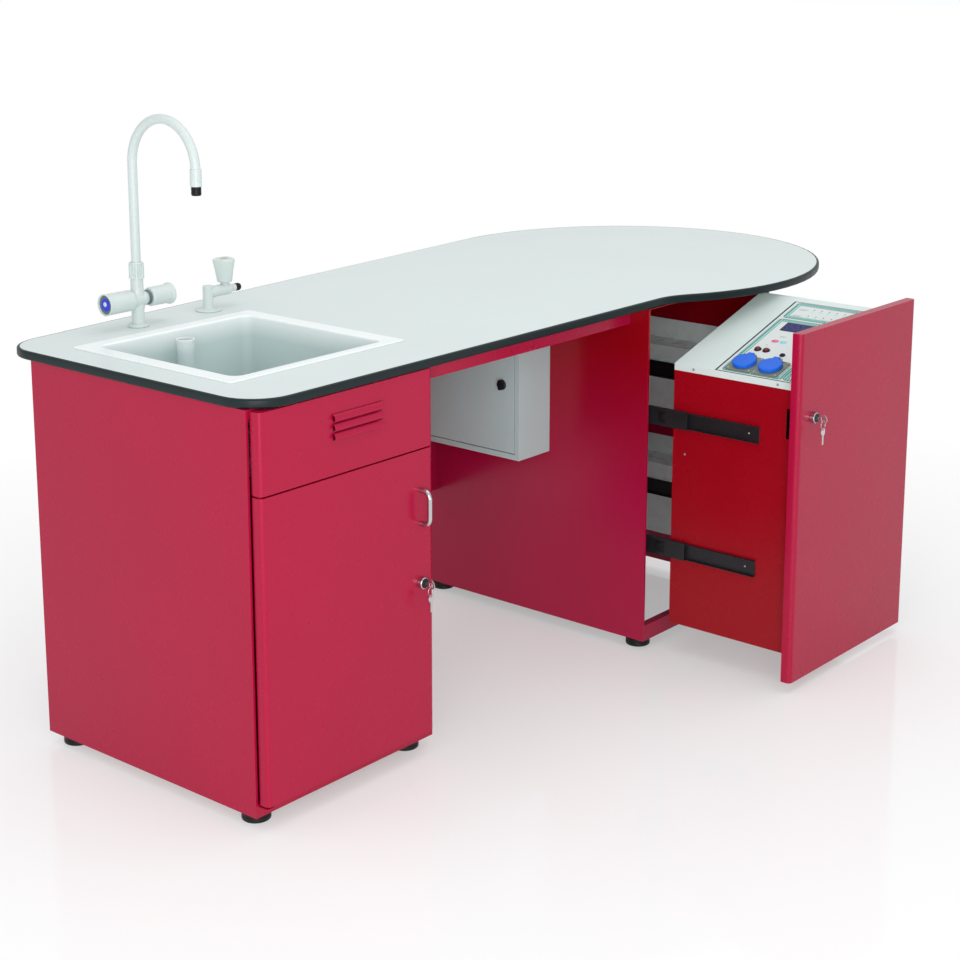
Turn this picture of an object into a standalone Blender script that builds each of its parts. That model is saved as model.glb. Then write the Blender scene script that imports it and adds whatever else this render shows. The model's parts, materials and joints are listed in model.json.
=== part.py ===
"""Laboratory table: sink cabinet, knee space and pull-out control cabinet under a lobed worktop.

Sizes are in metres. X runs along the table from the sink end, Y from the front to the rear,
Z up from the floor. The model is centred over its footprint as the last step.
"""
import math

import bmesh
import bpy
from mathutils import Matrix, Vector

# Fits and sheet metal
GAP = 0.0003
SHEET = 0.002
HEM_WIDTH = 0.006
HEM_DEPTH = 0.020
TOP_FLANGE = 0.020
PIN_CLEARANCE = 0.0003
SHARP_ANGLE = math.radians(35)

# Worktop
TOP_HEIGHT = 0.832
TOP_THICKNESS = 0.018
TOP_REAR_OVERHANG = 0.086
TOP_CORNER_RADIUS = 0.090
LOBE_HALF_LENGTH = 0.520
LOBE_HALF_WIDTH = 0.486
LOBE_OVERHANG_SHIFT = 0.159
LOBE_CENTRE_DEPTH = 0.381
LOBE_FILLET_RADIUS = 0.150
BAND_WIDTH = 0.006
BAND_ROUNDING = 0.004

# Cabinets and knee space
FOOT_HEIGHT = 0.024
SINK_CABINET_INSET = 0.009
SINK_CABINET_WIDTH = 0.497
SINK_CABINET_SETBACK = 0.034
SINK_CABINET_DEPTH = 0.620
SINK_CABINET_RETURN = 0.024
PLINTH_HEIGHT = 0.027
TOP_RAIL_HEIGHT = 0.018
SERVICE_HOLE_RADIUS = 0.030
KNEE_WIDTH = 0.700
DRAWER_CABINET_WIDTH = 0.508
DRAWER_CABINET_DEPTH = 0.692
GUSSET_SIZE = 0.080
GUSSET_THICKNESS = 0.003
BASE_RAIL_HEIGHT = 0.038
FRONT_RAIL_SETBACK = 0.050
FRONT_RAIL_DEPTH = 0.020
FRONT_RAIL_HEIGHT = 0.040
MODESTY_BEFORE_CABINET_BACK = 0.018
MODESTY_FOLD = 0.015
MODESTY_HEIGHT = 0.545

# Levelling feet
FOOT_RADIUS = 0.0285
FOOT_INSET_ACROSS = 0.039
FOOT_INSET_DEEP = 0.042
STEM_RADIUS = 0.005
STEM_RISE = 0.030
STEM_CLEARANCE = 0.0006

# Sink, waste and standpipe
SINK_SIDE_SHIFT = 0.0585
SINK_BEFORE_CABINET_BACK = 0.081
SINK_OPENING_WIDTH = 0.404
SINK_OPENING_DEPTH = 0.400
SINK_RIM_SIDE = 0.037
SINK_RIM_FRONT = 0.0265
SINK_RIM_REAR = 0.0345
SINK_RIM_HEIGHT = 0.003
SINK_RIM_CORNER = 0.014
SINK_RIM_CHAMFER = 0.001
SINK_DEPTH = 0.200
SINK_WALL = 0.005
SINK_TAPER = 0.002
SINK_CORNER_RADIUS = 0.034
SINK_FLOOR_RADIUS = 0.010
SINK_LIP_RADIUS = 0.004
SINK_CUTOUT_CLEARANCE = 0.002
DRAIN_SIDE_SHIFT = -0.004
DRAIN_FROM_REAR = 0.035
WASTE_FLANGE_RADIUS = 0.023
WASTE_FLANGE_THICKNESS = 0.002
WASTE_SHANK_RADIUS = 0.0170
WASTE_SHANK_CLEARANCE = 0.0008
WASTE_NUT_RADIUS = 0.027
WASTE_NUT_HEIGHT = 0.010
WASTE_SEAT_RADIUS = 0.0135
WASTE_SEAT_DEPTH = 0.036
TRAP_DROP = 0.075
TRAP_RADIUS = 0.030
TRAP_HEIGHT = 0.110
OUTLET_RADIUS = 0.016
OUTLET_BORE = 0.0135
OUTLET_BELOW_TRAP_TOP = 0.030
OUTLET_REACH = 0.012
STANDPIPE_RADIUS = 0.019
STANDPIPE_WALL = 0.003
STANDPIPE_BELOW_TOP = 0.010
SPIGOT_LENGTH = 0.025
SPIGOT_CLEARANCE = 0.0006

# Main tap, from its base on the worktop
MAIN_TAP_BEHIND_CABINET = 0.017
MAIN_TAP_SIDE_SHIFT = -0.016
TAP_SHANK_RADIUS = 0.012
TAP_SHANK_CLEARANCE = 0.001
TAP_SHANK_TAIL = 0.012
TAP_NUT_RADIUS = 0.0155
TAP_NUT_HEIGHT = 0.008
TAP_FLANGE_RADIUS = 0.0225
TAP_FLANGE_HEIGHT = 0.006
TAP_COLUMN_RADIUS = 0.0135
TAP_VALVE_HEIGHT = 0.058
TAP_BARREL_RADIUS = 0.0175
TAP_NECK_RADIUS = 0.014
TAP_NECK_REACH = 0.030
TAP_KNOB_RADIUS = 0.023
TAP_KNOB_REACH = 0.088
TAP_KNOB_EDGE = 0.002
TAP_KNOB_RECESS_RADIUS = 0.017
TAP_KNOB_RECESS = 0.004
SPINDLE_RADIUS = 0.005
SPINDLE_LENGTH = 0.010
SPINDLE_CLEARANCE = 0.0004
UNION_BASE = 0.103
UNION_HEIGHT = 0.031
UNION_RADIUS = 0.016
UNION_COLLAR_HEIGHT = 0.003
SPOUT_RADIUS = 0.010
SPOUT_CLEARANCE = 0.0006
SPOUT_SEAT_DEPTH = 0.024
SPOUT_RISE = 0.3445
SPOUT_ARCH_RADIUS = 0.0975
SPOUT_DROP = 0.0315
SLEEVE_RADIUS = 0.012
SLEEVE_LENGTH = 0.035
NOZZLE_RADIUS = 0.0105
NOZZLE_LENGTH = 0.018
NOZZLE_BORE = 0.007

# Gas tap, from its base on the worktop
GAS_TAP_BEHIND_CABINET = 0.027
GAS_TAP_SIDE_SHIFT = 0.189
GAS_FLANGE_RADIUS = 0.029
GAS_FLANGE_HEIGHT = 0.0045
GAS_COLUMN_RADIUS = 0.0115
GAS_COLUMN_HEIGHT = 0.055
GAS_ARM_RADIUS = 0.0125
GAS_ARM_HEIGHT = 0.040
GAS_ARM_REACH = 0.060
GAS_ARM_CONE = 0.012
GAS_COLLAR_RADIUS = 0.0085
GAS_COLLAR_LENGTH = 0.006
GAS_KNOB_OFFSET = 0.050
GAS_NECK_RADIUS = 0.009
GAS_NECK_TOP = 0.0565
GAS_KNOB_HEIGHT = 0.052
GAS_KNOB_FOOT_RADIUS = 0.018
GAS_KNOB_HEAD_RADIUS = 0.0235
GAS_KNOB_LOBE = 0.13
GAS_NOZZLE_RADIUS = 0.0085
GAS_NOZZLE_LENGTH = 0.014
GAS_SPIGOT_RADIUS = 0.004

# Door, vent panel, pull-out front and their folds
PANEL_THICKNESS = 0.024
PANEL_BEHIND_GAP = 0.003
PANEL_EDGE_RADIUS = 0.010
PANEL_LIP = 0.010
PANEL_SIDE_GAP = 0.001
PANEL_SEAM = 0.003
VENT_HEIGHT = 0.1565
LOUVRE_COUNT = 3
LOUVRE_PITCH = 0.018
LOUVRE_WIDTH = 0.134
LOUVRE_FROM_RIGHT = 0.147
LOUVRE_MIDDLE_BELOW_TOP = 0.062
LOUVRE_RISE = 0.009
LOUVRE_PROUD = 0.005
LOUVRE_SKIN = 0.0012
VENT_TAB_WIDTH = 0.040
VENT_TAB_INSET = 0.044
HINGE_PIN_RADIUS = 0.003
HINGE_FROM_EDGE = 0.008
HINGE_PIN_REACH = 0.006
TONGUE_THICKNESS = 0.002
TONGUE_DROP = 0.0025
TONGUE_MARGIN = 0.010

# Handle
HANDLE_FROM_EDGE = 0.038
HANDLE_BELOW_DOOR_TOP = 0.0805
HANDLE_SPACING = 0.071
HANDLE_ROD_RADIUS = 0.00425
HANDLE_REACH = 0.030
HANDLE_BEND = 0.012

# Cam locks, keys and key rings
DOOR_LOCK_FROM_EDGE = 0.039
DOOR_LOCK_BELOW_TOP = 0.2725
DRAWER_LOCK_FROM_EDGE = 0.052
DRAWER_LOCK_RISE = 0.597
LOCK_FACE_RADIUS = 0.012
LOCK_PROUD = 0.012
LOCK_BODY_RADIUS = 0.009
LOCK_PLUG_RADIUS = 0.006
LOCK_PLUG_CLEARANCE = 0.0003
LOCK_NUT_HEIGHT = 0.004
CAM_WIDTH = 0.016
CAM_THICKNESS = 0.002
CAM_BEHIND_FOLD = 0.002
CAM_OVERLAP = 0.0035
DOOR_CAM_REACH = 0.050
KEY_BOW_RADIUS = 0.0095
KEY_BOW_HOLE = 0.005
KEY_BOW_STANDOFF = 0.016
KEY_THICKNESS = 0.002
KEY_BLADE_HEIGHT = 0.007
RING_RADIUS = 0.009
RING_WIRE_RADIUS = 0.0009
SPARE_HEAD_RADIUS = 0.0085
SPARE_BLADE_LENGTH = 0.024
SPARE_BLADE_WIDTH = 0.006

# Pull-out travel, slides and carriers
DRAWER_TRAVEL = 0.367
FRONT_CLEARANCE = 0.002
FRONT_TOP_GAP = 0.003
SLIDE_HEIGHTS = {"upper": 0.563, "lower": 0.255}
SLIDE_HEIGHT = 0.045
SLIDE_THICKNESS = 0.0127
SLIDE_LENGTH = 0.402
SLIDE_SETBACK = 0.094
SLIDE_METAL = 0.0014
SLIDE_RUNNING = 0.0005
SLIDE_NESTING = 0.0010
PACKER_DEPTH = 0.0237
CARRIER_DEPTH = 0.087
CARRIER_HAT_HEIGHT = 0.169
CARRIER_FLANGE = 0.048
CARRIER_ABOVE_SLIDE = 0.0605
CARRIER_SETBACK = 0.024
CARRIER_LENGTH = 0.560

# Pull-out tower and its control cover
TOWER_DEPTH = 0.324
TOWER_FLOOR_RISE = 0.050
TOWER_LOW_EDGE = 0.675
COVER_FLANGE = 0.016
COVER_SLOPE = math.radians(17)
COVER_RIDGE_WIDTH = 0.017
CAM_SLOT_MARGIN = 0.004
POWER_UNIT_WIDTH = 0.200
POWER_UNIT_DEPTH = 0.180
POWER_UNIT_HEIGHT = 0.150
POWER_UNIT_SETBACK = 0.060
POWER_UNIT_FOOT = 0.015
POWER_UNIT_PLATE = 0.003

# Sockets and buttons on the cover
SOCKET_ACROSS = 0.0416
SOCKET_FROM_FRONT = 0.0986
SOCKET_PITCH = 0.0664
SOCKET_PLATE = 0.0655
SOCKET_PLATE_CORNER = 0.004
SOCKET_PLATE_HEIGHT = 0.0035
SOCKET_COLLAR_RADIUS = 0.0255
SOCKET_COLLAR_HEIGHT = 0.0095
SOCKET_BODY_RADIUS = 0.0215
SOCKET_BODY_DROP = 0.034
SOCKET_WELL_RADIUS = 0.0195
SOCKET_WELL_DEPTH = 0.024
SOCKET_HOLE_CLEARANCE = 0.0005
LID_RADIUS = 0.0250
LID_THICKNESS = 0.0044
LID_HINGE_OFFSET = 0.0292
LID_HINGE_HEIGHT = 0.0072
LID_KNUCKLE_RADIUS = 0.0023
LID_PIN_RADIUS = 0.0012
LID_TAB_HALF_WIDTH = 0.0082
EAR_THICKNESS = 0.0034
EAR_HALF_LENGTH = 0.0032
EAR_GAP = 0.0005
BUTTON_ACROSS = 0.110
BUTTON_FROM_FRONT = 0.153
BUTTON_PITCH = 0.022
BUTTON_RADIUS = 0.0065
BUTTON_PROUD = 0.005
BUTTON_COLLAR = 0.0085
BUTTON_BODY_DROP = 0.016
BUTTON_CLEARANCE = 0.0004

# Wall box in the knee space
BOX_DEPTH = 0.115
BOX_BEFORE_MODESTY = 0.006
BOX_WIDTH = 0.350
BOX_HEIGHT = 0.352
BOX_BELOW_TOP = 0.028
BOX_RIM = 0.013
BOX_RETURN = 0.012
BOX_DOOR_GAP = 0.002
BOX_DOOR_DEPTH = 0.012
BOX_HINGE_INSET = 0.0035
BOX_PIN_RADIUS = 0.0015
BOX_PIN_REACH = 0.004
BOX_KNOB_RADIUS = 0.0125
BOX_KNOB_HEIGHT = 0.012
BOX_KNOB_FROM_EDGE = 0.036
BOX_SHAFT_RADIUS = 0.004
BOX_SHAFT_CLEARANCE = 0.0003
BOX_CAM_LENGTH = 0.042
BREAKER_COUNT = 7
BREAKER_PITCH = 0.036
BREAKER_GROOVE = 0.001
BREAKER_BODY_DEPTH = 0.044
BREAKER_NOSE_DEPTH = 0.014
BREAKER_BODY_HEIGHT = 0.085
BREAKER_NOSE_HEIGHT = 0.045

# Colour, roughness and metallic value of each finish
FINISHES = {
    "laminate": ((0.70, 0.77, 0.75), 0.35, 0.0),
    "edge_band": ((0.020, 0.035, 0.035), 0.45, 0.0),
    "red_paint": ((0.36, 0.008, 0.012), 0.28, 0.0),
    "sink_white": ((0.80, 0.83, 0.82), 0.22, 0.0),
    "tap_white": ((0.76, 0.80, 0.78), 0.32, 0.0),
    "black_plastic": ((0.012, 0.012, 0.013), 0.45, 0.0),
    "white_plastic": ((0.66, 0.68, 0.66), 0.45, 0.0),
    "chrome": ((0.75, 0.76, 0.78), 0.12, 1.0),
    "key_steel": ((0.55, 0.56, 0.57), 0.30, 1.0),
    "slide_steel": ((0.020, 0.021, 0.024), 0.38, 0.4),
    "box_grey": ((0.36, 0.42, 0.40), 0.40, 0.0),
    "cover_grey": ((0.57, 0.63, 0.60), 0.38, 0.0),
    "socket_olive": ((0.22, 0.23, 0.19), 0.50, 0.0),
    "lid_blue": ((0.04, 0.16, 0.66), 0.35, 0.0),
    "button_red": ((0.22, 0.01, 0.02), 0.30, 0.0),
    "zinc": ((0.45, 0.47, 0.48), 0.40, 1.0),
}

# Places worked out from the sizes
CABINET_BASE = FOOT_HEIGHT
CABINET_TOP = TOP_HEIGHT - TOP_THICKNESS - GAP
SINK_CABINET_LEFT = SINK_CABINET_INSET
SINK_CABINET_RIGHT = SINK_CABINET_LEFT + SINK_CABINET_WIDTH
SINK_CABINET_FRONT = SINK_CABINET_SETBACK
SINK_CABINET_BACK = SINK_CABINET_FRONT + SINK_CABINET_DEPTH
TOP_SIDE_DEPTH = SINK_CABINET_BACK + TOP_REAR_OVERHANG
MODESTY_FRONT = SINK_CABINET_BACK - MODESTY_BEFORE_CABINET_BACK
DRAWER_CABINET_LEFT = SINK_CABINET_RIGHT + KNEE_WIDTH
DRAWER_CABINET_RIGHT = DRAWER_CABINET_LEFT + DRAWER_CABINET_WIDTH
DRAWER_CABINET_FRONT = 0.0
DRAWER_CABINET_BACK = DRAWER_CABINET_FRONT + DRAWER_CABINET_DEPTH
LOBE_CENTRE_X = (DRAWER_CABINET_LEFT + DRAWER_CABINET_RIGHT) / 2 + LOBE_OVERHANG_SHIFT

SINK_MIDDLE_X = (SINK_CABINET_LEFT + SINK_CABINET_RIGHT) / 2 + SINK_SIDE_SHIFT
SINK_REAR = SINK_CABINET_BACK - SINK_BEFORE_CABINET_BACK
SINK_LOW = (SINK_MIDDLE_X - SINK_OPENING_WIDTH / 2, SINK_REAR - SINK_OPENING_DEPTH)
SINK_HIGH = (SINK_MIDDLE_X + SINK_OPENING_WIDTH / 2, SINK_REAR)
SINK_RIM_TOP = TOP_HEIGHT + GAP + SINK_RIM_HEIGHT
SINK_FLOOR = SINK_RIM_TOP - SINK_DEPTH
DRAIN = (SINK_MIDDLE_X + DRAIN_SIDE_SHIFT, SINK_HIGH[1] - DRAIN_FROM_REAR)
MAIN_TAP = (SINK_MIDDLE_X + MAIN_TAP_SIDE_SHIFT, SINK_CABINET_BACK + MAIN_TAP_BEHIND_CABINET)
GAS_TAP = (SINK_MIDDLE_X + GAS_TAP_SIDE_SHIFT, SINK_CABINET_BACK + GAS_TAP_BEHIND_CABINET)

PANEL_BACK = SINK_CABINET_FRONT - PANEL_BEHIND_GAP
PANEL_FACE = PANEL_BACK - PANEL_THICKNESS
PANEL_LEFT = SINK_CABINET_LEFT + HEM_WIDTH + PANEL_SIDE_GAP
PANEL_RIGHT = SINK_CABINET_RIGHT - SINK_CABINET_RETURN
DOOR_BOTTOM = CABINET_BASE + PLINTH_HEIGHT
VENT_TOP = TOP_HEIGHT - TOP_THICKNESS - FRONT_TOP_GAP
VENT_BOTTOM = VENT_TOP - VENT_HEIGHT
DOOR_TOP = VENT_BOTTOM - PANEL_SEAM
DOOR_HINGE = (PANEL_LEFT + HINGE_FROM_EDGE, (PANEL_FACE + PANEL_BACK) / 2)

FRONT_BACK = DRAWER_CABINET_FRONT - FRONT_CLEARANCE - DRAWER_TRAVEL
FRONT_FACE = FRONT_BACK - PANEL_THICKNESS
FRONT_LEFT = DRAWER_CABINET_LEFT + SHEET
FRONT_RIGHT = DRAWER_CABINET_RIGHT - SHEET
FRONT_TOP = TOP_HEIGHT - TOP_THICKNESS - FRONT_TOP_GAP
TOWER_LEFT = DRAWER_CABINET_LEFT + SHEET + PACKER_DEPTH + SLIDE_THICKNESS + 2 * GAP
TOWER_RIGHT = DRAWER_CABINET_RIGHT - SHEET - CARRIER_DEPTH - SLIDE_THICKNESS - GAP
TOWER_FLOOR = CABINET_BASE + TOWER_FLOOR_RISE
TOWER_START = FRONT_FACE + SHEET + GAP
TOWER_END = FRONT_BACK + TOWER_DEPTH
COVER_EDGE = TOWER_LOW_EDGE + COVER_FLANGE
COVER_RIDGE_X = TOWER_RIGHT - COVER_RIDGE_WIDTH
COVER_RIDGE = COVER_EDGE + (COVER_RIDGE_X - TOWER_LEFT) * math.tan(COVER_SLOPE)

DOOR_LOCK = (PANEL_RIGHT - DOOR_LOCK_FROM_EDGE, PANEL_FACE, DOOR_TOP - DOOR_LOCK_BELOW_TOP)
DOOR_CAM_DEPTH = PANEL_THICKNESS + PANEL_BEHIND_GAP + SHEET + CAM_BEHIND_FOLD
DRAWER_LOCK = (FRONT_LEFT + DRAWER_LOCK_FROM_EDGE, FRONT_FACE, CABINET_BASE + DRAWER_LOCK_RISE)
DRAWER_CAM_DEPTH = PANEL_THICKNESS + FRONT_CLEARANCE + HEM_DEPTH + CAM_BEHIND_FOLD
DRAWER_CAM_REACH = DRAWER_LOCK[0] - DRAWER_CABINET_LEFT - HEM_WIDTH + CAM_OVERLAP

BOX_BACK = DRAWER_CABINET_LEFT - GAP
BOX_FACE = BOX_BACK - BOX_DEPTH
BOX_TOP = TOP_HEIGHT - TOP_THICKNESS - BOX_BELOW_TOP
BOX_BOTTOM = BOX_TOP - BOX_HEIGHT
BOX_FAR = MODESTY_FRONT - BOX_BEFORE_MODESTY
BOX_SETBACK = BOX_FAR - BOX_WIDTH
BOX_DOOR_LOW = (BOX_SETBACK + BOX_RIM + BOX_DOOR_GAP, BOX_BOTTOM + BOX_RIM + BOX_DOOR_GAP)
BOX_DOOR_HIGH = (BOX_FAR - BOX_RIM - BOX_DOOR_GAP, BOX_TOP - BOX_RIM - BOX_DOOR_GAP)
BOX_HINGE = (BOX_FACE + BOX_HINGE_INSET, BOX_DOOR_HIGH[0] - BOX_HINGE_INSET)
BOX_KNOB = (BOX_DOOR_LOW[0] + BOX_KNOB_FROM_EDGE, (BOX_BOTTOM + BOX_TOP) / 2)

origins = {}


def finish(name):
    """The material of a finish, made the first time it is asked for."""
    material = bpy.data.materials.get(name)
    if material:
        return material
    colour, roughness, metallic = FINISHES[name]
    material = bpy.data.materials.new(name)
    material.use_nodes = True
    material.diffuse_color = (*colour, 1.0)
    shader = material.node_tree.nodes["Principled BSDF"]
    shader.inputs["Base Color"].default_value = (*colour, 1.0)
    shader.inputs["Roughness"].default_value = roughness
    shader.inputs["Metallic"].default_value = metallic
    return material


def add_object(name, shape, origin, parent=None):
    """An object whose mesh is the shape, with its own origin at a point of the table."""
    bmesh.ops.translate(shape, verts=shape.verts[:], vec=-origin)
    mesh = bpy.data.meshes.new(name)
    shape.to_mesh(mesh)
    shape.free()
    added = bpy.data.objects.new(name, mesh)
    bpy.context.scene.collection.objects.link(added)
    place(added, origin, parent)
    return added


def place(item, origin, parent):
    """Put an object's origin at a point of the table, under its parent."""
    origins[item.name] = origin
    item.parent = parent
    item.location = origin - origins[parent.name] if parent else origin


def make(name, paint, shape, steps=(), pivot=(0.0, 0.0, 0.0), parent=None):
    """A named object from a closed shape, which further shapes then join or cut in order."""
    origin = Vector(pivot)
    part = add_object(name, shape, origin, parent)
    part.data.materials.append(finish(paint))
    part.data.shade_smooth()
    part.data.set_sharp_from_angle(angle=SHARP_ANGLE)
    for number, (operation, tool_shape) in enumerate(steps, start=1):
        tool = add_object(f"{name}_{operation}_{number}", tool_shape, origin, part)
        tool.hide_render = True
        tool.display_type = "WIRE"
        modifier = part.modifiers.new(f"{operation} {number}", "BOOLEAN")
        modifier.operation = "UNION" if operation == "join" else "DIFFERENCE"
        modifier.solver = "EXACT"
        modifier.object = tool
    return part


def carrier_empty(name, origin):
    """An empty on a joint's axis that carries the pieces which move together."""
    empty = bpy.data.objects.new(name, None)
    bpy.context.scene.collection.objects.link(empty)
    place(empty, Vector(origin), None)
    return empty


def on_axis(axis, across, along):
    """A point from two coordinates across an axis and one along it."""
    first, second = across
    if axis == "X":
        return Vector((along, first, second))
    if axis == "Y":
        return Vector((first, along, second))
    return Vector((first, second, along))


def loft(rings, loop=False):
    """Closed skin over rings of equal length, capped at both ends unless the rings form a loop."""
    shape = bmesh.new()
    rows = [[shape.verts.new(point) for point in ring] for ring in rings]
    following = rows[1:] + rows[:1] if loop else rows[1:]
    for row, beyond in zip(rows, following):
        for index in range(len(row)):
            turn = (index + 1) % len(row)
            shape.faces.new((row[index], row[turn], beyond[turn], beyond[index]))
    if not loop:
        shape.faces.new(rows[0])
        shape.faces.new(rows[-1])
    bmesh.ops.recalc_face_normals(shape, faces=shape.faces[:])
    return shape


def prism(outline, axis, start, end):
    """An outline of two-dimensional points, extruded along an axis."""
    return loft([[on_axis(axis, point, along) for point in outline] for along in (start, end)])


def block(low, high):
    """A box between two opposite corners."""
    outline = [(low[0], low[1]), (high[0], low[1]), (high[0], high[1]), (low[0], high[1])]
    return prism(outline, "Z", low[2], high[2])


def turned(profile, centre, axis="Z", sides=24, loop=False):
    """A solid of revolution from (radius, distance) points; a loop of them makes it hollow."""
    angles = [2 * math.pi * step / sides for step in range(sides)]
    rings = []
    for radius, distance in profile:
        across = [(radius * math.cos(angle), radius * math.sin(angle)) for angle in angles]
        rings.append([on_axis(axis, point, distance) + Vector(centre) for point in across])
    return loft(rings, loop)


def cylinder(radius, start, end, centre, axis="Z", sides=16):
    """A plain round bar or bore between two distances along its axis."""
    return turned([(radius, start), (radius, end)], centre, axis, sides)


def swept(path, radius, sides=12):
    """A round bar along a path of points."""
    rings = []
    side = None
    for index, point in enumerate(path):
        arriving = point - path[index - 1] if index else path[1] - point
        leaving = path[index + 1] - point if index + 1 < len(path) else arriving
        ahead = (arriving.normalized() + leaving.normalized()).normalized()
        side = side or ahead.orthogonal()
        side = (side - ahead * side.dot(ahead)).normalized()
        over = ahead.cross(side)
        angles = [2 * math.pi * step / sides for step in range(sides)]
        rings.append([point + (side * math.cos(a) + over * math.sin(a)) * radius for a in angles])
    return loft(rings)


def rounded_path(corners, radius, steps=4):
    """Points of a path through the corners, each inner corner an arc of one radius."""
    corners = [Vector(corner) for corner in corners]
    points = [corners[0]]
    for before, corner, after in zip(corners, corners[1:], corners[2:]):
        arriving = (corner - before).normalized()
        leaving = (after - corner).normalized()
        turn = arriving.angle(leaving)
        centre = corner + (leaving - arriving).normalized() * radius / math.cos(turn / 2)
        start = corner - arriving * radius * math.tan(turn / 2) - centre
        hinge = arriving.cross(leaving).normalized()
        for step in range(steps + 1):
            points.append(centre + Matrix.Rotation(turn * step / steps, 3, hinge) @ start)
    points.append(corners[-1])
    return points


def arc(centre, radius, start, end, steps):
    """Points of a plan arc between two angles in radians."""
    angles = [start + (end - start) * step / steps for step in range(steps + 1)]
    return [(centre[0] + radius * math.cos(a), centre[1] + radius * math.sin(a)) for a in angles]


def rounded_rectangle(low, high, radius, steps=4):
    """Anticlockwise outline of a rectangle with four equal corner arcs."""
    quarter = math.pi / 2
    centres = [
        (low[0] + radius, low[1] + radius),
        (high[0] - radius, low[1] + radius),
        (high[0] - radius, high[1] - radius),
        (low[0] + radius, high[1] - radius),
    ]
    outline = []
    for index, centre in enumerate(centres):
        start = math.pi + quarter * index
        outline += arc(centre, radius, start, start + quarter, steps)
    return outline


def worktop_points():
    """Plan outline of the worktop, anticlockwise, as points with their outward directions."""
    centre = Vector((LOBE_CENTRE_X, LOBE_CENTRE_DEPTH))
    reach = Vector((LOBE_HALF_LENGTH, LOBE_HALF_WIDTH))

    def lobe(angle):
        direction = Vector((math.cos(angle) / reach.x, math.sin(angle) / reach.y)).normalized()
        return centre + Vector((reach.x * math.cos(angle), reach.y * math.sin(angle))), direction

    def drop(angle):
        point, direction = lobe(angle)
        return (point + LOBE_FILLET_RADIUS * direction).y + LOBE_FILLET_RADIUS

    low, high = math.pi, 1.5 * math.pi
    for _ in range(40):
        middle = (low + high) / 2
        low, high = (middle, high) if drop(middle) > 0 else (low, middle)
    point, direction = lobe(low)
    fillet = point + LOBE_FILLET_RADIUS * direction

    corner = Vector((0.0, TOP_SIDE_DEPTH)) - centre
    offset = Vector((corner.x / reach.x, corner.y / reach.y))
    tangent = math.atan2(offset.y, offset.x) - math.acos(1 / offset.length)
    rear = (lobe(tangent)[0] - centre - corner).normalized()
    slope = math.atan2(rear.y, rear.x)
    radius = TOP_CORNER_RADIUS
    run = radius * (1 - math.sin(slope)) / math.cos(slope)
    rear_corner = centre + corner + rear * run + radius * Vector((rear.y, -rear.x))

    points = []
    for middle, start, end in (
        (rear_corner, math.pi / 2 + slope, math.pi),
        (Vector((radius, radius)), math.pi, 1.5 * math.pi),
    ):
        for step in range(9):
            angle = start + (end - start) * step / 8
            direction = Vector((math.cos(angle), math.sin(angle)))
            points.append((middle + radius * direction, direction))
    meeting = math.atan2(-direction_of(fillet, point).y, -direction_of(fillet, point).x)
    for step in range(9):
        angle = math.pi / 2 + (meeting + math.pi - math.pi / 2) * step / 8
        direction = Vector((math.cos(angle), math.sin(angle)))
        points.append((fillet + LOBE_FILLET_RADIUS * direction, -direction))
    start, end = low, 2 * math.pi + tangent
    for step in range(1, 45):
        points.append(lobe(start + (end - start) * step / 44))
    return points


def direction_of(start, end):
    """Unit direction from one point to another."""
    return (end - start).normalized()


def worktop_outline(inset):
    """The worktop's plan outline, moved inwards by a distance."""
    return [tuple(point - direction * inset) for point, direction in worktop_points()]


def sink_ring(grow, height):
    """Rounded rectangle round the sink opening, grown outwards, at a height."""
    low = (SINK_LOW[0] - grow, SINK_LOW[1] - grow)
    high = (SINK_HIGH[0] + grow, SINK_HIGH[1] + grow)
    outline = rounded_rectangle(low, high, SINK_CORNER_RADIUS + grow)
    return [Vector((x, y, height)) for x, y in outline]


def rim_ring(inset, height):
    """Outer edge of the sink rim, drawn in by a distance, at a height."""
    low = (SINK_LOW[0] - SINK_RIM_SIDE + inset, SINK_LOW[1] - SINK_RIM_FRONT + inset)
    high = (SINK_HIGH[0] + SINK_RIM_SIDE - inset, SINK_HIGH[1] + SINK_RIM_REAR - inset)
    outline = rounded_rectangle(low, high, SINK_RIM_CORNER - inset)
    return [Vector((x, y, height)) for x, y in outline]


def worktop():
    """The board with its sink and tap holes, and the rounded band round its edge."""
    bottom = TOP_HEIGHT - TOP_THICKNESS
    margin = SINK_WALL + SINK_CUTOUT_CLEARANCE
    through = (bottom - SHEET, TOP_HEIGHT + SHEET)
    sink_hole = loft([sink_ring(margin, height) for height in through])
    steps = [("cut", sink_hole)]
    for tap in (MAIN_TAP, GAS_TAP):
        hole = cylinder(TAP_SHANK_RADIUS + TAP_SHANK_CLEARANCE, *through, (*tap, 0.0))
        steps.append(("cut", hole))
    board = prism(worktop_outline(BAND_WIDTH + GAP), "Z", bottom, TOP_HEIGHT)
    make("worktop_board", "laminate", board, steps)

    profile = [(BAND_WIDTH, bottom), (BAND_WIDTH, TOP_HEIGHT)]
    for height, start in ((TOP_HEIGHT - BAND_ROUNDING, math.pi / 2), (bottom + BAND_ROUNDING, 0.0)):
        for inset, level in arc((0.0, 0.0), BAND_ROUNDING, start, start - math.pi / 2, 2):
            profile.append((BAND_ROUNDING - inset, height + level))
    rings = []
    for inset, height in profile:
        rings.append([Vector((x, y, height)) for x, y in worktop_outline(inset)])
    make("worktop_edge", "edge_band", loft(rings, loop=True))


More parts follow.
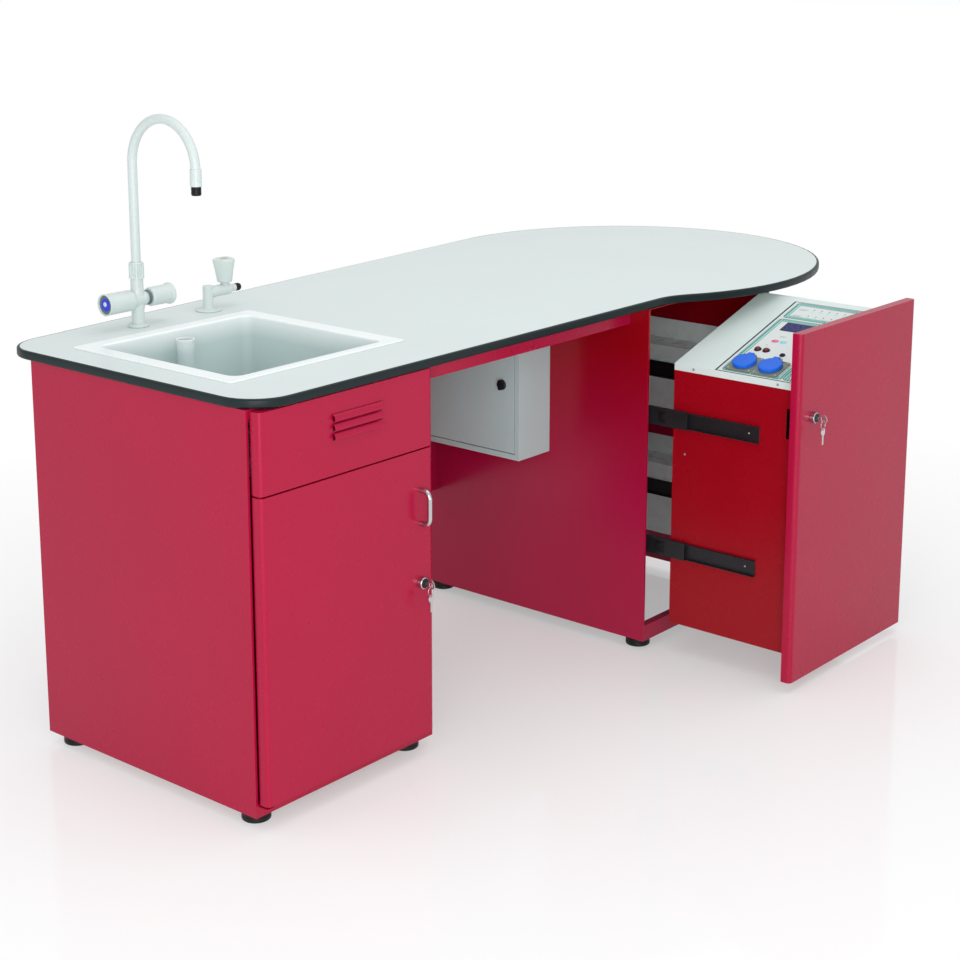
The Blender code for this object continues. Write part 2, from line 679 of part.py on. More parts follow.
def sink():
    """The bowl with its rim, the waste below it and the standpipe in it."""
    floor, radius, lip = SINK_FLOOR, SINK_FLOOR_RADIUS, SINK_LIP_RADIUS
    bend = 1 - math.sqrt(0.5)
    wall = SINK_WALL - SINK_TAPER
    rings = [
        sink_ring(-SINK_TAPER - radius, floor),
        sink_ring(-SINK_TAPER - radius * bend, floor + radius * bend),
        sink_ring(-SINK_TAPER, floor + radius),
        sink_ring(0.0, SINK_RIM_TOP - lip),
        sink_ring(lip * bend, SINK_RIM_TOP - lip * bend),
        sink_ring(lip, SINK_RIM_TOP),
        rim_ring(SINK_RIM_CHAMFER, SINK_RIM_TOP),
        rim_ring(0.0, SINK_RIM_TOP - SINK_RIM_CHAMFER),
        rim_ring(0.0, TOP_HEIGHT + GAP),
        sink_ring(SINK_WALL, TOP_HEIGHT + GAP),
        sink_ring(wall, floor + radius),
        sink_ring(wall - radius * bend, floor - SINK_WALL + radius * bend),
        sink_ring(wall - radius, floor - SINK_WALL),
    ]
    hole_radius = WASTE_SHANK_RADIUS + WASTE_SHANK_CLEARANCE
    hole = cylinder(hole_radius, floor - 2 * SINK_WALL, floor + SINK_WALL, (*DRAIN, 0.0))
    make("sink_bowl", "sink_white", loft(rings), [("cut", hole)])
    sink_waste()
    standpipe()


def sink_waste():
    """Waste flange, shank, nut and bottle trap, with the outlet through the cabinet's back."""
    flange_top = SINK_FLOOR + GAP + WASTE_FLANGE_THICKNESS
    nut_top = SINK_FLOOR - SINK_WALL - GAP
    trap_top = SINK_FLOOR - TRAP_DROP
    trap_bottom = trap_top - TRAP_HEIGHT
    profile = [
        (WASTE_FLANGE_RADIUS, flange_top),
        (WASTE_FLANGE_RADIUS, SINK_FLOOR + GAP),
        (WASTE_SHANK_RADIUS, SINK_FLOOR + GAP),
        (WASTE_SHANK_RADIUS, nut_top),
        (WASTE_NUT_RADIUS, nut_top),
        (WASTE_NUT_RADIUS, nut_top - WASTE_NUT_HEIGHT),
        (OUTLET_RADIUS, nut_top - WASTE_NUT_HEIGHT),
        (OUTLET_RADIUS, trap_top),
        (TRAP_RADIUS, trap_top),
        (TRAP_RADIUS, trap_bottom),
    ]
    outlet = (DRAIN[0], 0.0, trap_top - OUTLET_BELOW_TRAP_TOP)
    end = SINK_CABINET_BACK + OUTLET_REACH
    seat = cylinder(WASTE_SEAT_RADIUS, flange_top - WASTE_SEAT_DEPTH, flange_top + GAP, (*DRAIN, 0.0))
    steps = [
        ("join", cylinder(OUTLET_RADIUS, DRAIN[1], end, outlet, "Y", 20)),
        ("cut", cylinder(OUTLET_BORE, DRAIN[1] + TRAP_RADIUS, end + SHEET, outlet, "Y", 20)),
        ("cut", seat),
    ]
    make("sink_waste", "white_plastic", turned(profile, (*DRAIN, 0.0)), steps)


def standpipe():
    """The overflow pipe, open at its top, whose spigot stands in the waste and lifts out."""
    seat = SINK_FLOOR + GAP + WASTE_FLANGE_THICKNESS + GAP
    top = TOP_HEIGHT - STANDPIPE_BELOW_TOP
    spigot = WASTE_SEAT_RADIUS - SPIGOT_CLEARANCE
    bore = STANDPIPE_RADIUS - STANDPIPE_WALL
    edge = STANDPIPE_WALL / 3
    profile = [
        (spigot - STANDPIPE_WALL, seat - SPIGOT_LENGTH),
        (spigot, seat - SPIGOT_LENGTH),
        (spigot, seat),
        (STANDPIPE_RADIUS, seat),
        (STANDPIPE_RADIUS, top - edge),
        (STANDPIPE_RADIUS - edge, top),
        (bore + edge, top),
        (bore, top - edge),
        (bore, seat + STANDPIPE_WALL),
        (spigot - STANDPIPE_WALL, seat + STANDPIPE_WALL),
    ]
    shape = turned(profile, (*DRAIN, 0.0), sides=20, loop=True)
    make("sink_standpipe", "sink_white", shape, pivot=(*DRAIN, seat))


def shank_profile(flange_radius):
    """Lower profile shared by both taps: tail, nut under the board and shank up to the flange."""
    under = TOP_HEIGHT - TOP_THICKNESS - GAP
    return [
        (TAP_SHANK_RADIUS, under - TAP_NUT_HEIGHT - TAP_SHANK_TAIL),
        (TAP_SHANK_RADIUS, under - TAP_NUT_HEIGHT),
        (TAP_NUT_RADIUS, under - TAP_NUT_HEIGHT),
        (TAP_NUT_RADIUS, under),
        (TAP_SHANK_RADIUS, under),
        (TAP_SHANK_RADIUS, TOP_HEIGHT + GAP),
        (flange_radius, TOP_HEIGHT + GAP),
    ]


def main_tap():
    """Tap body with its valve barrel and union nut, the spout, the nozzle and the two knobs."""
    base = (*MAIN_TAP, 0.0)
    union_bottom = TOP_HEIGHT + UNION_BASE
    union_top = union_bottom + UNION_HEIGHT
    collar_top = union_top + UNION_COLLAR_HEIGHT
    flange_top = TOP_HEIGHT + TAP_FLANGE_HEIGHT
    flange_edge = TAP_FLANGE_HEIGHT / 4
    profile = shank_profile(TAP_FLANGE_RADIUS) + [
        (TAP_FLANGE_RADIUS, flange_top - flange_edge),
        (TAP_FLANGE_RADIUS - flange_edge, flange_top),
        (TAP_COLUMN_RADIUS, flange_top),
        (TAP_COLUMN_RADIUS, union_bottom),
        (UNION_RADIUS, union_bottom + flange_edge),
        (UNION_RADIUS, union_top),
        (SPOUT_RADIUS + 2 * flange_edge, union_top),
        (SPOUT_RADIUS + 2 * flange_edge, collar_top),
    ]
    valve = TOP_HEIGHT + TAP_VALVE_HEIGHT
    seat = union_top - SPOUT_SEAT_DEPTH
    neck_start = TAP_COLUMN_RADIUS / 2
    valve_centre = (*MAIN_TAP, valve)
    bore = SPINDLE_RADIUS + SPINDLE_CLEARANCE
    left_face = MAIN_TAP[0] - TAP_BARREL_RADIUS
    right_face = MAIN_TAP[0] + TAP_NECK_REACH
    barrel = [
        (TAP_BARREL_RADIUS, -TAP_BARREL_RADIUS),
        (TAP_BARREL_RADIUS, neck_start),
        (TAP_BARREL_RADIUS, TAP_COLUMN_RADIUS),
        (TAP_NECK_RADIUS, TAP_NECK_REACH),
    ]
    deep = SPINDLE_LENGTH + SHEET
    steps = [
        ("join", turned(barrel, valve_centre, "X")),
        ("cut", cylinder(SPOUT_RADIUS + SPOUT_CLEARANCE, seat, collar_top + SHEET, base, sides=20)),
        ("cut", cylinder(bore, left_face - SHEET, left_face + deep, (0.0, *valve_centre[1:]), "X")),
        ("cut", cylinder(bore, right_face - deep, right_face + SHEET, (0.0, *valve_centre[1:]), "X")),
    ]
    make("tap_body", "tap_white", turned(profile, base), steps)

    foot = Vector((*MAIN_TAP, seat + GAP))
    rise = TOP_HEIGHT + SPOUT_RISE
    arch = Vector((MAIN_TAP[0], MAIN_TAP[1] - SPOUT_ARCH_RADIUS, rise))
    path = [foot]
    for y, z in arc((arch.y, arch.z), SPOUT_ARCH_RADIUS, 0.0, math.pi, 16):
        path.append(Vector((arch.x, y, z)))
    outlet = Vector((arch.x, arch.y - SPOUT_ARCH_RADIUS, rise - SPOUT_DROP))
    path.append(outlet)
    sleeve_edge = (SLEEVE_RADIUS - SPOUT_RADIUS) / 2
    sleeve = [
        (SLEEVE_RADIUS, outlet.z),
        (SLEEVE_RADIUS, outlet.z + SLEEVE_LENGTH - sleeve_edge),
        (SLEEVE_RADIUS - sleeve_edge, outlet.z + SLEEVE_LENGTH),
    ]
    mouth = (outlet.x, outlet.y, 0.0)
    spout_steps = [("join", turned(sleeve, mouth, sides=16))]
    make("tap_spout", "tap_white", swept(path, SPOUT_RADIUS), spout_steps, pivot=foot)

    end = outlet.z - GAP
    nozzle = [
        (NOZZLE_BORE, end - NOZZLE_LENGTH),
        (NOZZLE_RADIUS - sleeve_edge, end - NOZZLE_LENGTH),
        (NOZZLE_RADIUS, end - NOZZLE_LENGTH + sleeve_edge),
        (NOZZLE_RADIUS, end),
        (NOZZLE_BORE, end),
    ]
    shape = turned(nozzle, mouth, sides=20, loop=True)
    make("tap_nozzle", "black_plastic", shape, pivot=foot)

    make_tap_knob("tap_knob_left", -1, TAP_BARREL_RADIUS)
    make_tap_knob("tap_knob_right", 1, TAP_NECK_REACH)


def make_tap_knob(name, side, start):
    """A round knob with a recessed end, whose spindle runs in the valve barrel."""
    valve = (*MAIN_TAP, TOP_HEIGHT + TAP_VALVE_HEIGHT)
    face = start + GAP
    profile = [
        (SPINDLE_RADIUS, face - SPINDLE_LENGTH),
        (SPINDLE_RADIUS, face),
        (TAP_KNOB_RADIUS - TAP_KNOB_EDGE, face),
        (TAP_KNOB_RADIUS, face + TAP_KNOB_EDGE),
        (TAP_KNOB_RADIUS, TAP_KNOB_REACH - TAP_KNOB_EDGE),
        (TAP_KNOB_RADIUS - TAP_KNOB_EDGE, TAP_KNOB_REACH),
        (TAP_KNOB_RECESS_RADIUS, TAP_KNOB_REACH),
        (TAP_KNOB_RECESS_RADIUS, TAP_KNOB_REACH - TAP_KNOB_RECESS),
    ]
    mirrored = [(radius, side * distance) for radius, distance in profile]
    make(name, "tap_white", turned(mirrored, valve, "X"), pivot=valve)


def gas_tap():
    """Gas tap body with its arm, the three-lobed knob and the black nozzle."""
    base = (*GAS_TAP, 0.0)
    flange_top = TOP_HEIGHT + GAS_FLANGE_HEIGHT
    edge = GAS_FLANGE_HEIGHT / 3
    column_top = TOP_HEIGHT + GAS_COLUMN_HEIGHT
    profile = shank_profile(GAS_FLANGE_RADIUS) + [
        (GAS_FLANGE_RADIUS, flange_top - edge),
        (GAS_FLANGE_RADIUS - edge, flange_top),
        (GAS_COLUMN_RADIUS, flange_top),
        (GAS_COLUMN_RADIUS, column_top - edge / 2),
        (GAS_COLUMN_RADIUS - edge / 2, column_top),
    ]
    arm_height = TOP_HEIGHT + GAS_ARM_HEIGHT
    arm_end = GAS_ARM_REACH + GAS_ARM_CONE
    nozzle_start = arm_end + GAS_COLLAR_LENGTH
    arm = [
        (GAS_ARM_RADIUS, 0.0),
        (GAS_ARM_RADIUS, GAS_ARM_REACH),
        (GAS_COLLAR_RADIUS - edge, arm_end),
        (GAS_COLLAR_RADIUS, arm_end + edge / 2),
        (GAS_COLLAR_RADIUS, nozzle_start),
    ]
    arm_centre = (*GAS_TAP, arm_height)
    knob_axis = (GAS_TAP[0] + GAS_KNOB_OFFSET, GAS_TAP[1])
    neck_top = TOP_HEIGHT + GAS_NECK_TOP
    shoulder = [
        (GAS_ARM_RADIUS - edge, arm_height),
        (GAS_ARM_RADIUS - edge, arm_height + GAS_ARM_RADIUS - edge),
        (GAS_NECK_RADIUS, arm_height + GAS_ARM_RADIUS + edge),
        (GAS_NECK_RADIUS, neck_top),
    ]
    bore = SPINDLE_RADIUS + SPINDLE_CLEARANCE
    spigot_bore = GAS_SPIGOT_RADIUS + SPINDLE_CLEARANCE
    tip = GAS_TAP[0] + nozzle_start
    deep = SPINDLE_LENGTH + SHEET
    arm_line = (0.0, GAS_TAP[1], arm_height)
    steps = [
        ("join", turned(arm, arm_centre, "X", 20)),
        ("join", turned(shoulder, (*knob_axis, 0.0), sides=20)),
        ("cut", cylinder(bore, neck_top - deep, neck_top + SHEET, (*knob_axis, 0.0))),
        ("cut", cylinder(spigot_bore, tip - deep, tip + SHEET, arm_line, "X")),
    ]
    make("gas_tap_body", "tap_white", turned(profile, base), steps)
    gas_knob(knob_axis, neck_top + GAP)

    nozzle = [
        (GAS_SPIGOT_RADIUS, tip + GAP - SPINDLE_LENGTH),
        (GAS_SPIGOT_RADIUS, tip + GAP),
        (GAS_NOZZLE_RADIUS, tip + GAP),
        (GAS_NOZZLE_RADIUS, tip + GAS_NOZZLE_LENGTH - edge),
        (GAS_NOZZLE_RADIUS - edge, tip + GAS_NOZZLE_LENGTH),
    ]
    make("gas_tap_nozzle", "black_plastic", turned(nozzle, arm_line, "X", 20))


def gas_knob(axis, foot):
    """An upturned cone whose section swells from round into three soft lobes."""
    rings = []
    sides = 24
    for share in (0.0, 0.04, 0.5, 0.96, 1.0):
        radius = GAS_KNOB_FOOT_RADIUS + (GAS_KNOB_HEAD_RADIUS - GAS_KNOB_FOOT_RADIUS) * share
        radius -= SHEET / 2 if share in (0.0, 1.0) else 0.0
        ring = []
        for step in range(sides):
            angle = 2 * math.pi * step / sides
            lobed = radius * (1 + GAS_KNOB_LOBE * share * math.cos(3 * angle))
            x = axis[0] + lobed * math.cos(angle)
            y = axis[1] + lobed * math.sin(angle)
            ring.append(Vector((x, y, foot + GAS_KNOB_HEIGHT * share)))
        rings.append(ring)
    spindle = cylinder(SPINDLE_RADIUS, foot - SPINDLE_LENGTH, foot + SHEET, (*axis, 0.0))
    make("gas_tap_knob", "tap_white", loft(rings), [("join", spindle)], pivot=(*axis, foot))


def foot_places(left, right, front, back):
    """Plan places of a cabinet's four feet."""
    return {
        "front_left": (left + FOOT_INSET_ACROSS, front + FOOT_INSET_DEEP),
        "front_right": (right - FOOT_INSET_ACROSS, front + FOOT_INSET_DEEP),
        "rear_left": (left + FOOT_INSET_ACROSS, back - FOOT_INSET_DEEP),
        "rear_right": (right - FOOT_INSET_ACROSS, back - FOOT_INSET_DEEP),
    }


def feet(cabinet, places):
    """Round pads under a cabinet, each with a stem through the cabinet's floor."""
    top = CABINET_BASE - GAP
    edge = FOOT_RADIUS / 20
    for corner, place_in_plan in places.items():
        profile = [
            (FOOT_RADIUS - edge, 0.0),
            (FOOT_RADIUS, edge),
            (FOOT_RADIUS, top * 0.7),
            (FOOT_RADIUS - edge, top * 0.7 + edge),
            (FOOT_RADIUS / 2, top),
            (STEM_RADIUS, top),
            (STEM_RADIUS, top + STEM_RISE),
        ]
        shape = turned(profile, (*place_in_plan, 0.0), sides=20)
        make(f"{cabinet}_foot_{corner}", "black_plastic", shape, pivot=(*place_in_plan, 0.0))


def stem_holes(places, floor_thickness):
    """Cutting steps for the foot stems in a cabinet's floor."""
    radius = STEM_RADIUS + STEM_CLEARANCE
    start, end = CABINET_BASE - floor_thickness, CABINET_BASE + 2 * floor_thickness
    return [("cut", cylinder(radius, start, end, (*place_in_plan, 0.0))) for place_in_plan in places.values()]


def sink_cabinet():
    """The folded carcass under the sink, with its hinge tongue, bowl notch and service hole."""
    left, right = SINK_CABINET_LEFT, SINK_CABINET_RIGHT
    front, back = SINK_CABINET_FRONT, SINK_CABINET_BACK
    base, top = CABINET_BASE, CABINET_TOP
    shape = block((left, front, base), (right, back, top))
    inside = block((left + SHEET, front + SHEET, base + SHEET), (right - SHEET, back - SHEET, top - SHEET))
    mouth_low = (left + TOP_FLANGE, front + TOP_FLANGE, top - 2 * SHEET)
    mouth_high = (right - TOP_FLANGE, back - TOP_FLANGE, top + SHEET)
    doorway_low = (left + HEM_WIDTH, front - SHEET, DOOR_BOTTOM)
    doorway_high = (PANEL_RIGHT, front + 2 * SHEET, top - TOP_RAIL_HEIGHT)
    hem_low = (left + SHEET / 2, front + SHEET / 2, base + SHEET / 2)
    hem_high = (left + HEM_WIDTH, front + HEM_DEPTH, top - SHEET / 2)
    notch_margin = SINK_WALL + SINK_CUTOUT_CLEARANCE
    notch_low = (SINK_MIDDLE_X, SINK_LOW[1] - notch_margin, SINK_FLOOR - notch_margin)
    notch_high = (right + SHEET, SINK_HIGH[1] + notch_margin, top + SHEET)
    service = (DRAIN[0], 0.0, SINK_FLOOR - TRAP_DROP - OUTLET_BELOW_TRAP_TOP)
    hinge_x, hinge_y = DOOR_HINGE
    tongue_top = DOOR_BOTTOM - TONGUE_DROP
    tongue_low = (hinge_x - TONGUE_MARGIN, hinge_y - TONGUE_MARGIN, tongue_top - TONGUE_THICKNESS)
    tongue_high = (hinge_x + TONGUE_MARGIN, front + SHEET / 2, tongue_top)
    pin_radius = HINGE_PIN_RADIUS + PIN_CLEARANCE
    pin_hole = cylinder(pin_radius, tongue_low[2] - SHEET, tongue_top + SHEET, (*DOOR_HINGE, 0.0))
    places = foot_places(left, right, front, back)
    steps = [
        ("cut", inside),
        ("cut", block(mouth_low, mouth_high)),
        ("cut", block(doorway_low, doorway_high)),
        ("join", block(hem_low, hem_high)),
        ("cut", block(notch_low, notch_high)),
        ("cut", cylinder(SERVICE_HOLE_RADIUS, back - 2 * SHEET, back + SHEET, service, "Y", 20)),
        ("join", block(tongue_low, tongue_high)),
        ("cut", pin_hole),
    ]
    make("sink_cabinet", "red_paint", shape, steps + stem_holes(places, SHEET))
    feet("sink_cabinet", places)


def panel_outline(left, right, face, back, radius):
    """Plan outline of a folded panel, square at its back and rounded at its front edges."""
    quarter = math.pi / 2
    outline = [(left, back)]
    outline += arc((left + radius, face + radius), radius, math.pi, math.pi + quarter, 4)
    outline += arc((right - radius, face + radius), radius, math.pi + quarter, 2 * math.pi, 4)
    outline.append((right, back))
    return outline


def folded_panel(left, right, face, bottom, top):
    """Shape and first cuts of a hollow panel whose back is open inside a narrow lip."""
    back = face + PANEL_THICKNESS
    outline = panel_outline(left, right, face, back, PANEL_EDGE_RADIUS)
    shape = prism(outline, "Z", bottom, top)
    inner_radius = PANEL_EDGE_RADIUS - SHEET
    inner = panel_outline(left + SHEET, right - SHEET, face + SHEET, back - SHEET, inner_radius)
    inside = prism(inner, "Z", bottom + SHEET, top - SHEET)
    lip_low = (left + PANEL_LIP, back - 2 * SHEET, bottom + PANEL_LIP)
    lip_high = (right - PANEL_LIP, back + SHEET, top - PANEL_LIP)
    return shape, [("cut", inside), ("cut", block(lip_low, lip_high))]


def vent_panel():
    """The fixed panel over the door, with pressed louvres and tabs back to the carcass."""
    shape, steps = folded_panel(PANEL_LEFT, PANEL_RIGHT, PANEL_FACE, VENT_BOTTOM, VENT_TOP)
    tab_bottom = VENT_TOP - SHEET
    for start in (PANEL_LEFT + VENT_TAB_INSET, PANEL_RIGHT - VENT_TAB_INSET - VENT_TAB_WIDTH):
        low = (start, PANEL_BACK - SHEET, tab_bottom)
        high = (start + VENT_TAB_WIDTH, SINK_CABINET_FRONT - GAP, VENT_TOP)
        steps.append(("join", block(low, high)))
    right = PANEL_RIGHT - LOUVRE_FROM_RIGHT
    left = right - LOUVRE_WIDTH
    middle = VENT_TOP - LOUVRE_MIDDLE_BELOW_TOP
    face, proud, skin = PANEL_FACE, LOUVRE_PROUD, LOUVRE_SKIN
    for number in range(LOUVRE_COUNT):
        low = middle + (number - (LOUVRE_COUNT - 1) / 2) * LOUVRE_PITCH - LOUVRE_RISE / 2
        hood = [(face + SHEET / 2, low), (face - proud, low), (face + SHEET / 2, low + LOUVRE_RISE)]
        throat = [
            (face + 2 * SHEET, low - skin),
            (face - proud + 2 * skin, low - skin),
            (face + 2 * SHEET, low + LOUVRE_RISE - skin),
        ]
        steps.append(("join", prism(hood, "X", left, right)))
        steps.append(("cut", prism(throat, "X", left + skin, right - skin)))
    hole = HINGE_PIN_RADIUS + PIN_CLEARANCE
    steps.append(("cut", cylinder(hole, VENT_BOTTOM - SHEET, VENT_BOTTOM + 2 * SHEET, (*DOOR_HINGE, 0.0))))
    make("vent_panel", "red_paint", shape, steps)


def door():
    """The hinged door with its pins, handle and lock, carried on the hinge axis."""
    hinge = carrier_empty("door_hinge", (*DOOR_HINGE, DOOR_BOTTOM))
    shape, steps = folded_panel(PANEL_LEFT, PANEL_RIGHT, PANEL_FACE, DOOR_BOTTOM, DOOR_TOP)
    axis = (*DOOR_HINGE, 0.0)
    lower = cylinder(HINGE_PIN_RADIUS, DOOR_BOTTOM - HINGE_PIN_REACH, DOOR_BOTTOM + 3 * SHEET, axis)
    upper = cylinder(HINGE_PIN_RADIUS, DOOR_TOP - 3 * SHEET, DOOR_TOP + HINGE_PIN_REACH, axis)
    steps += [("join", lower), ("join", upper), ("cut", lock_hole(DOOR_LOCK))]
    make("door", "red_paint", shape, steps, pivot=(*DOOR_HINGE, DOOR_BOTTOM), parent=hinge)

    x = PANEL_RIGHT - HANDLE_FROM_EDGE
    root = PANEL_FACE - GAP
    high = DOOR_TOP - HANDLE_BELOW_DOOR_TOP
    low = high - HANDLE_SPACING
    out = PANEL_FACE - HANDLE_REACH + HANDLE_ROD_RADIUS
    corners = [(x, root, low), (x, out, low), (x, out, high), (x, root, high)]
    bar = swept(rounded_path(corners, HANDLE_BEND), HANDLE_ROD_RADIUS, sides=10)
    make("door_handle", "chrome", bar, pivot=(x, root, low), parent=hinge)
    cam_lock("door", DOOR_LOCK, DOOR_CAM_DEPTH, DOOR_CAM_REACH, hinge)


def lock_hole(lock):
    """The hole for a lock's body in the face of a panel."""
    x, face, z = lock
    radius = LOCK_BODY_RADIUS + GAP
    return cylinder(radius, face - SHEET, face + 2 * SHEET, (x, 0.0, z), "Y")


def cam_lock(prefix, lock, cam_depth, cam_reach, parent):
    """Lock barrel clamped to a panel, the key with its plug and cam, and the ring with the spare."""
    x, face, z = lock
    front = -LOCK_PROUD
    edge = LOCK_FACE_RADIUS / 10
    nut_start = SHEET + GAP
    nut_radius = LOCK_FACE_RADIUS - edge / 2
    barrel_end = cam_depth - GAP
    barrel = [
        (LOCK_PLUG_RADIUS, front),
        (LOCK_FACE_RADIUS - edge, front),
        (LOCK_FACE_RADIUS, front + edge),
        (LOCK_FACE_RADIUS, -GAP),
        (LOCK_BODY_RADIUS, -GAP),
        (LOCK_BODY_RADIUS, nut_start),
        (nut_radius, nut_start),
        (nut_radius, nut_start + LOCK_NUT_HEIGHT),
        (LOCK_BODY_RADIUS, nut_start + LOCK_NUT_HEIGHT),
        (LOCK_BODY_RADIUS, barrel_end),
        (LOCK_PLUG_RADIUS, barrel_end),
    ]
    make(f"{prefix}_lock_barrel", "chrome", turned(barrel, lock, "Y", 20, True), pivot=lock, parent=parent)

    plug_radius = LOCK_PLUG_RADIUS - LOCK_PLUG_CLEARANCE
    cam_end = face + cam_depth + CAM_THICKNESS
    bow = front - KEY_BOW_STANDOFF
    half = KEY_THICKNESS / 2
    bow_profile = [
        (KEY_BOW_HOLE, -half),
        (KEY_BOW_RADIUS, -half),
        (KEY_BOW_RADIUS, half),
        (KEY_BOW_HOLE, half),
    ]
    bow_ring = turned(bow_profile, (x, face + bow, z), "X", 20, True)
    blade_low = (x - half, face + bow + (KEY_BOW_HOLE + KEY_BOW_RADIUS) / 2, z - KEY_BLADE_HEIGHT / 2)
    blade_high = (x + half, face + front + SHEET, z + KEY_BLADE_HEIGHT / 2)
    cam_low = (x - CAM_WIDTH / 2, face + cam_depth, z - cam_reach)
    cam_high = (x + CAM_WIDTH / 2, cam_end, z + CAM_WIDTH / 2)
    plug = cylinder(plug_radius, front, cam_depth + CAM_THICKNESS / 2, lock, "Y")
    steps = [
        ("join", block(cam_low, cam_high)),
        ("join", block(blade_low, blade_high)),
        ("join", bow_ring),
    ]
    key = make(f"{prefix}_key", "key_steel", plug, steps, pivot=lock, parent=parent)

    hang = z - KEY_BOW_HOLE + RING_WIRE_RADIUS + GAP
    middle = (x, face + bow, hang - RING_RADIUS)
    wire = []
    for step in range(6):
        angle = math.pi * step / 3
        wire.append((RING_RADIUS + RING_WIRE_RADIUS * math.cos(angle), RING_WIRE_RADIUS * math.sin(angle)))
    ring = turned(wire, middle, "Y", 20, True)
    head_middle = (x, face + bow, middle[2] - RING_RADIUS - SPARE_HEAD_RADIUS + 2 * RING_WIRE_RADIUS)
    head = cylinder(SPARE_HEAD_RADIUS, -half, half, head_middle, "Y", 14)
    blade_top = head_middle[2] - SPARE_HEAD_RADIUS / 2
    spare_low = (x - SPARE_BLADE_WIDTH / 2, face + bow - half * 0.8, blade_top - SPARE_BLADE_LENGTH)
    spare_high = (x + SPARE_BLADE_WIDTH / 2, face + bow + half * 0.8, blade_top)
    steps = [("join", head), ("join", block(spare_low, spare_high))]
    make(f"{prefix}_key_ring", "key_steel", ring, steps, pivot=(x, face + bow, hang), parent=key)


def drawer_cabinet():
    """The open carcass that the pull-out tower runs in, with slide packers and foot gussets."""
    left, right = DRAWER_CABINET_LEFT, DRAWER_CABINET_RIGHT
    front, back = DRAWER_CABINET_FRONT, DRAWER_CABINET_BACK
    base, top = CABINET_BASE, CABINET_TOP
    fold = front + HEM_DEPTH
    rail_top = base + BASE_RAIL_HEIGHT
    under = base - SHEET
    over = base + 2 * GUSSET_THICKNESS
    mouth_low = (left + TOP_FLANGE, front + TOP_FLANGE, top - 2 * SHEET)
    mouth_high = (right - TOP_FLANGE, back - TOP_FLANGE, top + SHEET)
    cuts = [
        ((left + SHEET, fold, base + GUSSET_THICKNESS), (right - SHEET, back - SHEET, top - SHEET)),
        ((left + HEM_WIDTH, front - SHEET, rail_top), (right - HEM_WIDTH, fold + SHEET, top - SHEET)),
        (mouth_low, mouth_high),
        ((left + GUSSET_SIZE, fold, under), (right - GUSSET_SIZE, back - SHEET, over)),
        ((left + SHEET, front + GUSSET_SIZE, under), (right - SHEET, back - GUSSET_SIZE, over)),
        ((left + HEM_WIDTH, front + SHEET, under), (right - HEM_WIDTH, fold - SHEET, rail_top - SHEET)),
    ]
    steps = [("cut", block(low, high)) for low, high in cuts]
    half = SLIDE_HEIGHT / 2
    wall = left + SHEET
    start, end = front + SLIDE_SETBACK, front + SLIDE_SETBACK + SLIDE_LENGTH
    for height in SLIDE_HEIGHTS.values():
        low = (left + SHEET / 2, start, height - half)
        high = (wall + PACKER_DEPTH, end, height + half)
        hollow_low = (wall + SHEET, start - SHEET, height - half + SHEET)
        hollow_high = (wall + PACKER_DEPTH - SHEET, end + SHEET, height + half - SHEET)
        steps += [("join", block(low, high)), ("cut", block(hollow_low, hollow_high))]
    places = foot_places(left, right, front, back)
    shape = block((left, front, base), (right, back, top))
    make("drawer_cabinet", "red_paint", shape, steps + stem_holes(places, GUSSET_THICKNESS))
    feet("drawer_cabinet", places)


def channel(web, tip, height, half_height, start, end):
    """A C-shaped slide member along Y, from its web towards the tips of its two flanges."""
    skin = math.copysign(SLIDE_METAL, tip - web)
    outer = half_height
    inner = half_height - SLIDE_METAL
    outline = [
        (web, height - outer),
        (tip, height - outer),
        (tip, height - inner),
        (web + skin, height - inner),
        (web + skin, height + inner),
        (tip, height + inner),
        (tip, height + outer),
        (web, height + outer),
    ]
    return prism(outline, "Y", start, end)


def slides(tower):
    """Four telescopic slides: outer members on the cabinet, middle ones between, inner on the tower."""
    start = DRAWER_CABINET_FRONT + SLIDE_SETBACK
    middle_start = start - DRAWER_TRAVEL / 2
    inner_start = start - DRAWER_TRAVEL
    step = SLIDE_METAL + SLIDE_RUNNING
    halves = [SLIDE_HEIGHT / 2 - index * step for index in range(3)]
    walls = {
        "left": (DRAWER_CABINET_LEFT + SHEET + PACKER_DEPTH + GAP, 1),
        "right": (DRAWER_CABINET_RIGHT - SHEET - CARRIER_DEPTH, -1),
    }
    for side, (mount, inward) in walls.items():
        for level, height in SLIDE_HEIGHTS.items():
            reach = SLIDE_THICKNESS * inward
            running = SLIDE_RUNNING * inward
            skin = SLIDE_METAL * inward
            outer_tip = mount + reach - skin - 2 * SLIDE_NESTING * inward
            middle_web = mount + skin + running
            middle_tip = mount + reach - skin - SLIDE_NESTING * inward
            inner_web = mount + reach
            inner_tip = middle_web + skin + running
            outer = channel(mount, outer_tip, height, halves[0], start, start + SLIDE_LENGTH)
            if side == "left":
                make(f"slide_outer_{side}_{level}", "slide_steel", outer)
            else:
                carrier(level, height, outer)
            end = middle_start + SLIDE_LENGTH
            middle = channel(middle_web, middle_tip, height, halves[1], middle_start, end)
            pivot = (mount, middle_start, height)
            make(f"slide_middle_{side}_{level}", "slide_steel", middle, pivot=pivot)
            end = inner_start + SLIDE_LENGTH
            inner = channel(inner_web, inner_tip, height, halves[2], inner_start, end)
            pivot = (mount, inner_start, height)
            make(f"slide_inner_{side}_{level}", "slide_steel", inner, pivot=pivot, parent=tower)


